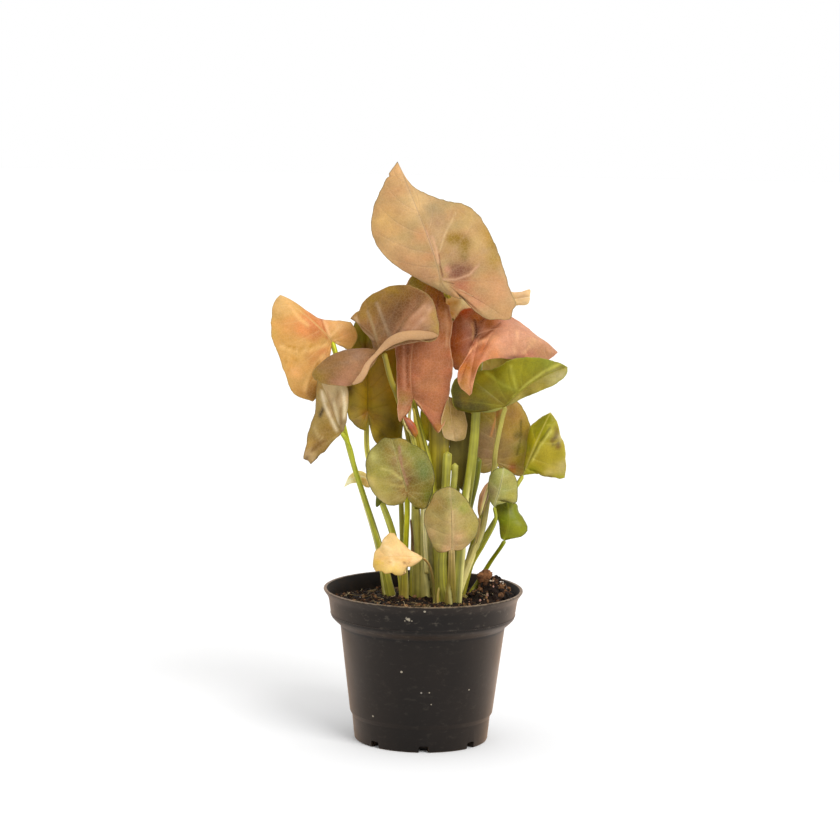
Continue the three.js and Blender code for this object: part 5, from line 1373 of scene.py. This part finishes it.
add_blade(
    "leaf_salmon", pink_leaf,
    joint=(28, -5, 214), middle=(47, -8, 217), tip=(70, -4, 205), puff=0.07,
    left=[(25.6, -2.4, 207.6), (23.1, 0.6, 200.5), (21, 1.8, 195.4), (16.9, 2, 195.3),
          (14.5, 3, 200.7), (13.8, 3, 209.1), (14.8, 3.6, 216.9), (17.9, 4, 223.1), (21, 4, 226.8),
          (24.7, 4, 227.8), (33, 3, 226.3), (41.3, 2, 224.3), (48, 1, 221.3), (55.8, 0, 216.2),
          (64.1, -1, 209.5)],
    right=[(25, -11, 208.5), (21.3, -15, 202.2), (18.5, -17, 196.8), (18.1, -17.2, 193.7),
           (19, -17, 189), (21.8, -19, 186.4), (24.8, -20, 184), (26.2, -21, 190),
           (27.9, -20.6, 196.7), (30, -19, 201.1), (33.6, -17, 202.7), (39.9, -13, 202.8),
           (47.8, -8, 201.7), (58.2, -6, 201.2), (65.5, -5, 201.6)],
    veins=(5, 3), colour="#c28772", vein="#d59f84", margin="#c98a6c",
    # The reds at the left are the lobe that hangs behind: painted darker as painted shade, with its
    # brightest reds at the top painted as light shining through it. The light patches near the fold are
    # painted highlight.
    patches=[(20, 225, 5, "#9c4a1c"), (22.5, 227, 3, "#b8481c"), (17, 216, 6, "#904a12"),
             (17, 208, 6, "#94460e"), (19, 202, 5.5, "#a04e1e"), (28, 223, 4, "#8a4a18"),
             (33, 221, 5, "#8c4a1a"), (28, 215, 3, "#6e4012"), (36, 222, 4, "#a05a2c"),
             (37, 213, 4.5, "#dc9870"), (43, 215, 5, "#cd9275"), (50, 216, 6, "#cd957b"),
             (47, 209, 5, "#c38a6d"), (41, 207, 4, "#d49b7b"), (57, 211, 6, "#c99979"),
             (64, 206, 5, "#c1906d"), (31, 208, 4, "#be6e46"), (36, 205, 4, "#cc885e"),
             (28, 201, 4, "#c87c54"), (23, 197, 4.5, "#b06c30"), (21, 190, 4, "#b88450"),
             (25, 191, 3, "#d09068"), (24, 186, 3, "#c08858"), (21.3, 226.1, 2.6, "#c0541c"),
             (17.6, 220.8, 3.4, "#96501c"), (16.6, 210.2, 4, "#a65628"),
             (15.5, 202.8, 3.6, "#b0622f"), (19.2, 199.1, 3.4, "#c0743e"),
             (26, 208.6, 2.4, "#8e441c"), (28.7, 222.9, 3, "#a66030"), (22.4, 191.2, 2.4, "#aa703a"),
             (19.2, 186.5, 2.2, "#b89a5c"), (23.4, 184.4, 2, "#bc8450"), (25.3, 190.2, 1.8, "#ecae88")],
    # The darkest stroke is painted shadow in the slit where the stalk meets the blade. The two dark
    # strokes after the pale edge are painted shade above the fold, and the next pale one a painted
    # highlight along it.
    strokes=[([(27, 221), (28, 217), (27.4, 213)], 0.8, "#583010"),
             ([(25.6, 220), (26.4, 216), (26, 212)], 0.6, "#c89464"),
             ([(29.6, 220), (34, 223), (38, 225)], 0.7, "#743c18"),
             ([(30, 212), (35, 216), (40, 220)], 0.7, "#84441c"),
             ([(24, 206), (30, 211), (38, 214)], 0.8, "#e4a47c"),
             ([(49, 217), (48, 210), (47, 205)], 0.7, "#e0ac88"),
             ([(58, 212), (55, 208), (52, 205)], 0.7, "#dcac84")],
)
# A lobe of the same leaf that has folded back, and shows its tan underside below the tip.
add_blade(
    "leaf_pink_lobe", pink_leaf,
    joint=(13.4, -4.6, 182), middle=(15, -3.6, 170), tip=(17, -0.5, 158), puff=-0.06,
    left=[(11.5, -7.4, 177), (9.5, -8.4, 169), (11.5, -4.5, 160.5)],
    right=[(18, -2, 179), (22, 0, 172), (23.3, 1, 165), (21.5, 0.5, 159)],
    veins=(3, 1), colour="#a08450", vein="#a88c5c", margin="#c4a880", wave=(0.2, 2), in_frame=False,
    patches=[(16, 174, 5, "#8c703c"), (19, 164, 5, "#ac9060"), (15, 161, 4, "#bca47c")],
)

# ---- Green leaves ------------------------------------------------------------------------------
# Firm yellow-green leaves with bright veins and paler undersides.
green_leaf = leaf_finish("green", "blade_green", "#a8a848", "#a8a65c", roughness=0.42, net=0.07)

add_blade(
    "leaf_green", green_leaf,
    joint=(43, -12, 178), middle=(55.9, -15.5, 190.1), tip=(74.3, -22, 199.4), puff=0.1,
    left=[(39, -11.4, 176.1), (34.4, -10, 175.1), (28.2, -8, 175.6), (21, -7.2, 174.5),
          (16.8, -7, 175.8), (15.5, -6.5, 180.9), (15, -6, 186.1), (17.1, -5, 191.2), (22, -5, 193.8),
          (28.7, -5.8, 195.5), (34.9, -7, 196.4), (40, -9.4, 198.7), (44.1, -11, 201.3),
          (50.7, -13, 203), (58.4, -15.6, 203.6), (65.5, -18, 202.6), (70.5, -20.4, 201.3)],
    right=[(46.7, -13.6, 179.7), (51.8, -15.6, 182.6), (58.9, -18.4, 185.8), (65.9, -21, 189.2),
           (71, -22.8, 192.8), (74, -23, 196.4)],
    veins=(6, 3), colour="#7d7621", vein="#a19d3e", margin="#989b4a", other="#aca45c", wave=(0.6, 3),
    # The near-black olive patches at the lower left are painted shade on the underside there.
    patches=[(57, 202, 7, "#8c8a2e"), (66, 201, 5, "#868a36"), (50, 198, 6, "#908a2c"),
             (37, 195, 5, "#77701f"), (44, 192, 5, "#8c8626"), (31, 190, 5, "#6c6014"),
             (26, 185, 5, "#4c4608"), (20, 181, 6, "#3a3604"), (31, 178, 4, "#3c3404"),
             (18, 187, 4, "#54500f"), (38, 183, 5, "#7a701c"), (66, 191, 4, "#b4aa72"),
             (71, 195, 4, "#b8ac7c"), (37.1, 181.2, 4, "#6c5e10"), (41.8, 180.1, 4, "#726210"),
             (22.4, 181.7, 3.6, "#7c641c"), (27.6, 184.4, 4, "#766a1c"), (30.8, 192.3, 4, "#867a26"),
             (55, 183.8, 4.5, "#7c6c28"), (62.4, 189.1, 4, "#96863c"), (25.5, 177.5, 3.4, "#4a4004"),
             (18.7, 178, 3, "#4c420a"), (32.4, 175.9, 3, "#645810")],
    strokes=[([(47, 183), (54, 190), (63, 197), (71, 201)], 0.8, "#bcb858"),
             ([(49, 186), (46.5, 194), (45.5, 199)], 0.8, "#a8a444"),
             ([(49, 186), (40, 190), (33, 195)], 0.8, "#94923a")],
)
add_blade(
    "leaf_lime", green_leaf,
    joint=(53, 13, 138), middle=(59, 12, 154), tip=(67.4, 17, 170.8), puff=0.05,
    left=[(54.3, 15, 141.5), (53.8, 15.6, 145.2), (54.8, 16.6, 150.9), (55.6, 18, 157.6),
          (57.5, 19, 163.3), (61.9, 18.6, 167.4)],
    right=[(57.1, 12.4, 139.5), (61.3, 12, 138.8), (64.2, 12, 139), (66.6, 11.8, 137.2),
           (70.2, 11, 137.2), (74.1, 11, 136), (75.2, 11, 141.1), (75.4, 11.6, 147.9),
           (74.7, 13, 154.6), (72.6, 14, 159.2), (71, 15.8, 165.9)],
    veins=(4, 2), colour="#a59a30", vein="#c3b560", margin="#b8ac5c",
    patches=[(65, 166, 5, "#86870d"), (61, 160, 4, "#918d10"), (58, 156, 3, "#aba01e"),
             (68, 162, 3, "#afa42e"), (66, 150, 5, "#b7a83f"), (61, 149, 4, "#b3a43b"),
             (71, 144, 4, "#b3a04b"), (56, 146, 3, "#afa43b"), (66, 140, 3, "#c5b46b"),
             (70, 158, 1.5, "#3d380d"), (71.5, 155, 1.2, "#483f0f"), (69, 154, 0.9, "#574d11"),
             (67, 138, 1.2, "#68561a"), (68.1, 156.4, 1.6, "#5e4000"), (71.6, 153.2, 1.6, "#6c4808"),
             (70.8, 159.5, 2, "#6e5400"), (70.3, 162.7, 1.8, "#7c6c18"),
             (73.4, 158.5, 2.2, "#cec494"), (70.3, 147.9, 4, "#9a8c26"), (66, 150, 3.5, "#a49434"),
             (73.7, 142.6, 3.5, "#bcac6e"), (61.8, 145.3, 4, "#9c8c2a"), (58.7, 149, 3, "#a89a38")],
    strokes=[([(67, 163), (61, 155), (57, 147), (54, 141)], 0.6, "#6c660d"),
             ([(68, 162), (62, 154), (58, 146)], 0.5, "#c9c164")],
)
add_blade(
    "leaf_low_right", green_leaf,
    joint=(43, -8, 107), middle=(45, -9, 118), tip=(44, -4, 127), puff=0.1,
    left=[(41, -7, 108), (40, -5, 116), (38, -4, 120), (38, -3, 125)],
    right=[(47, -8, 108), (52, -8, 109), (55, -7, 113), (53, -5, 117), (50, -3, 121), (49, -3, 125)],
    veins=(3, 1), colour="#7b8117", vein="#999c2e", margin="#596212", wave=(0.4, 2),
    # The first patch, dark olive at the top, is the shadow of the small leaf above it, painted in.
    patches=[(43, 124, 3.5, "#59600c"), (47, 118, 4, "#7c8514"), (50, 113, 3.5, "#8a8d1c"),
             (43, 112, 3, "#79770f")],
)
add_blade(
    "leaf_low_left", green_leaf,
    joint=(-21, -6, 127), middle=(-18, -8, 134), tip=(-14, -6, 146), puff=0.1,
    left=[(-22, -6, 126), (-24, -6, 124), (-24, -5, 130), (-22, -5, 138)],
    right=[(-18, -7, 127), (-14, -8, 129), (-11, -8, 134), (-11, -7, 142)],
    veins=(3, 1), colour="#737623", vein="#a6a139", margin="#4a5620", wave=(0.4, 2),
    patches=[(-23, 126, 3, "#5d641c")],
)

# ---- Mixed leaves ------------------------------------------------------------------------------
# Small low leaves, green at the rim and flushed mauve along the midrib.
mixed_leaf = leaf_finish("mixed", "blade_mixed", "#c2c088", "#b3b080", roughness=0.45)

add_blade(
    "leaf_round", mixed_leaf,
    joint=(-8, -24, 135), middle=(-12, -25, 149), tip=(-16, -20, 162), puff=0.12,
    left=[(-10, -23, 129), (-17, -23, 128), (-23, -22, 131), (-28, -21, 139), (-29, -20, 146),
          (-28, -19, 154), (-24, -19, 159), (-20, -19, 162)],
    right=[(-6, -23, 129), (-1, -22, 126), (2, -21, 127), (5, -20, 133), (6, -19, 141), (4, -18, 149),
           (1, -18, 155), (-5, -18, 159), (-11, -19, 162)],
    veins=(5, 3), colour="#8f8345", vein="#a99f64", margin="#33351c", wave=(0.4, 3),
    patches=[(-25, 153, 6, "#7e7638"), (-26, 141, 6, "#a99d4b"), (-22, 134, 6, "#b4a35d"),
             (-17, 158, 5, "#736a3e"), (-13, 151, 3.5, "#947653"), (-11, 146, 4.5, "#805e47"),
             (-6, 141, 5.5, "#6e4734"), (-9, 136, 4, "#805e36"), (0, 150, 5, "#6a7240"),
             (1, 144, 4.5, "#626c3e"), (-5, 156, 4.5, "#7a7a3c"), (-2, 132, 4.5, "#735e2a"),
             (3, 133, 4, "#5f6219"), (-13, 131, 3.5, "#a28d57"), (-20, 146, 3, "#948d4b"),
             (-25, 152.7, 3.5, "#b4ae6a"), (-17.1, 156.4, 3, "#8a743c"), (2.4, 137.4, 3, "#6c640c"),
             (-22.4, 128.9, 3.5, "#c8b478"), (-26.6, 139.5, 3, "#c4b06c"), (-4, 138.4, 3, "#705e2c"),
             (-11.9, 147.4, 3.6, "#8a7a48"), (-14, 141.1, 3, "#8c7c4c")],
    strokes=[([(-12, 158), (-10.5, 148), (-8, 139)], 0.8, "#99725d"),
             ([(-21, 147), (-16, 146), (-11, 142)], 0.7, "#b6ab68"),
             ([(-22, 141), (-16, 139), (-10, 138)], 0.7, "#ae9f5f")],
)
add_blade(
    "leaf_low_front", mixed_leaf,
    joint=(15, -28, 106), middle=(15, -31, 121), tip=(14, -26, 138), puff=0.1,
    left=[(11, -27, 104), (8, -26, 104), (4, -25, 110), (1, -24, 117), (1, -23, 124), (4, -23, 129),
          (6, -24, 134), (10, -25, 137)],
    right=[(19, -27, 105), (23, -26, 107), (28, -25, 113), (29, -24, 119), (26, -23, 125),
           (23, -23, 130), (19, -24, 135)],
    veins=(5, 3), colour="#a28e58", vein="#bca373", margin="#3a3c1e", wave=(0.4, 3),
    patches=[(9.2, 126.8, 3.5, "#8c7644"), (15, 131.6, 4, "#8c844c"), (21.3, 126.8, 4, "#909048"),
             (25.5, 116.8, 4, "#a0944e"), (5, 114.1, 3.5, "#b89a6c"), (13.9, 106.7, 4.5, "#caa27a"),
             (17.1, 112, 4, "#c09c74"), (9.7, 96.7, 3.5, "#a09446"), (20.3, 97.2, 3.5, "#a09250"),
             (15.5, 121, 4, "#b49c6c"), (28.1, 109.9, 3.5, "#968846"), (21.8, 106.7, 3.5, "#b89a6c"),
             (6.6, 105.2, 3, "#ac9658"), (15.5, 101.5, 3, "#c49c74")],
    # The second stroke is painted light along the midrib, over the shade in its groove.
    strokes=[([(15.3, 108.8), (15.5, 105.2), (15.5, 100.9)], 0.8, "#dcb48c"),
             ([(15.4, 125.7), (15.5, 116.2), (15.7, 103)], 0.8, "#c4a87c")],
)
add_blade(
    "leaf_small_right", mixed_leaf,
    joint=(37, -15, 126), middle=(40, -17, 136), tip=(42, -14, 146), puff=0.1,
    left=[(35, -14, 129), (34, -13, 135), (35, -12, 141), (38, -13, 145)],
    right=[(40, -15, 127), (44, -14, 128), (48, -12, 127), (49, -11, 134), (48, -11, 141),
           (45, -12, 144)],
    veins=(3, 2), colour="#969355", vein="#c8c494", margin="#3c4420", wave=(0.4, 2),
    patches=[(38, 139, 3, "#898b4c"), (43, 144, 3, "#9b9c5a"), (46, 138, 3, "#a09b55"),
             (36, 134, 3, "#837553"), (46, 131, 3, "#9f9848")],
)

# ---- Floor, light and camera -------------------------------------------------------------------
# A flat white floor, one large soft lamp above and to the right of the camera, and white surroundings.
CAMERA_PLACE = (-3.26, -1500, 369.7)
CAMERA_PITCH, CAMERA_ROLL = 82.38, 1
LENS, FILM = 124.43, 36
SUN_TURN = (51, 0, 35)
SUN_SPREAD = 32
pick()
bpy.ops.mesh.primitive_plane_add(size=12, location=(0, 0, 0))
floor = bpy.context.object
floor.name = "studio_floor"
floor.data.materials.append(new_finish("paper_matt_white", Roughness=0.9, Base_Color=linear("#eeeeee"))[0])

scene = bpy.context.scene
scene.view_settings.view_transform = "Standard"
scene.world = bpy.data.worlds.new("white_studio")
scene.world.use_nodes = True
plug(scene.world.node_tree, scene.world.node_tree.nodes["Background"],
     {"Color": (1, 1, 1, 1), "Strength": 1})

bpy.ops.object.light_add(type="SUN", location=(0.8, -0.9, 1.6))
key = bpy.context.object
key.name = "key_softbox"
key.data.energy = 1.85
key.data.angle = math.radians(SUN_SPREAD)
key.rotation_euler = [math.radians(turn) for turn in SUN_TURN]

bpy.ops.object.camera_add(location=[at * MM for at in CAMERA_PLACE],
                          rotation=(math.radians(CAMERA_PITCH), 0, 0))
camera = bpy.context.object
camera.rotation_euler.rotate_axis("Z", math.radians(CAMERA_ROLL))
camera.data.sensor_width = FILM
camera.data.lens = LENS
scene.camera = camera
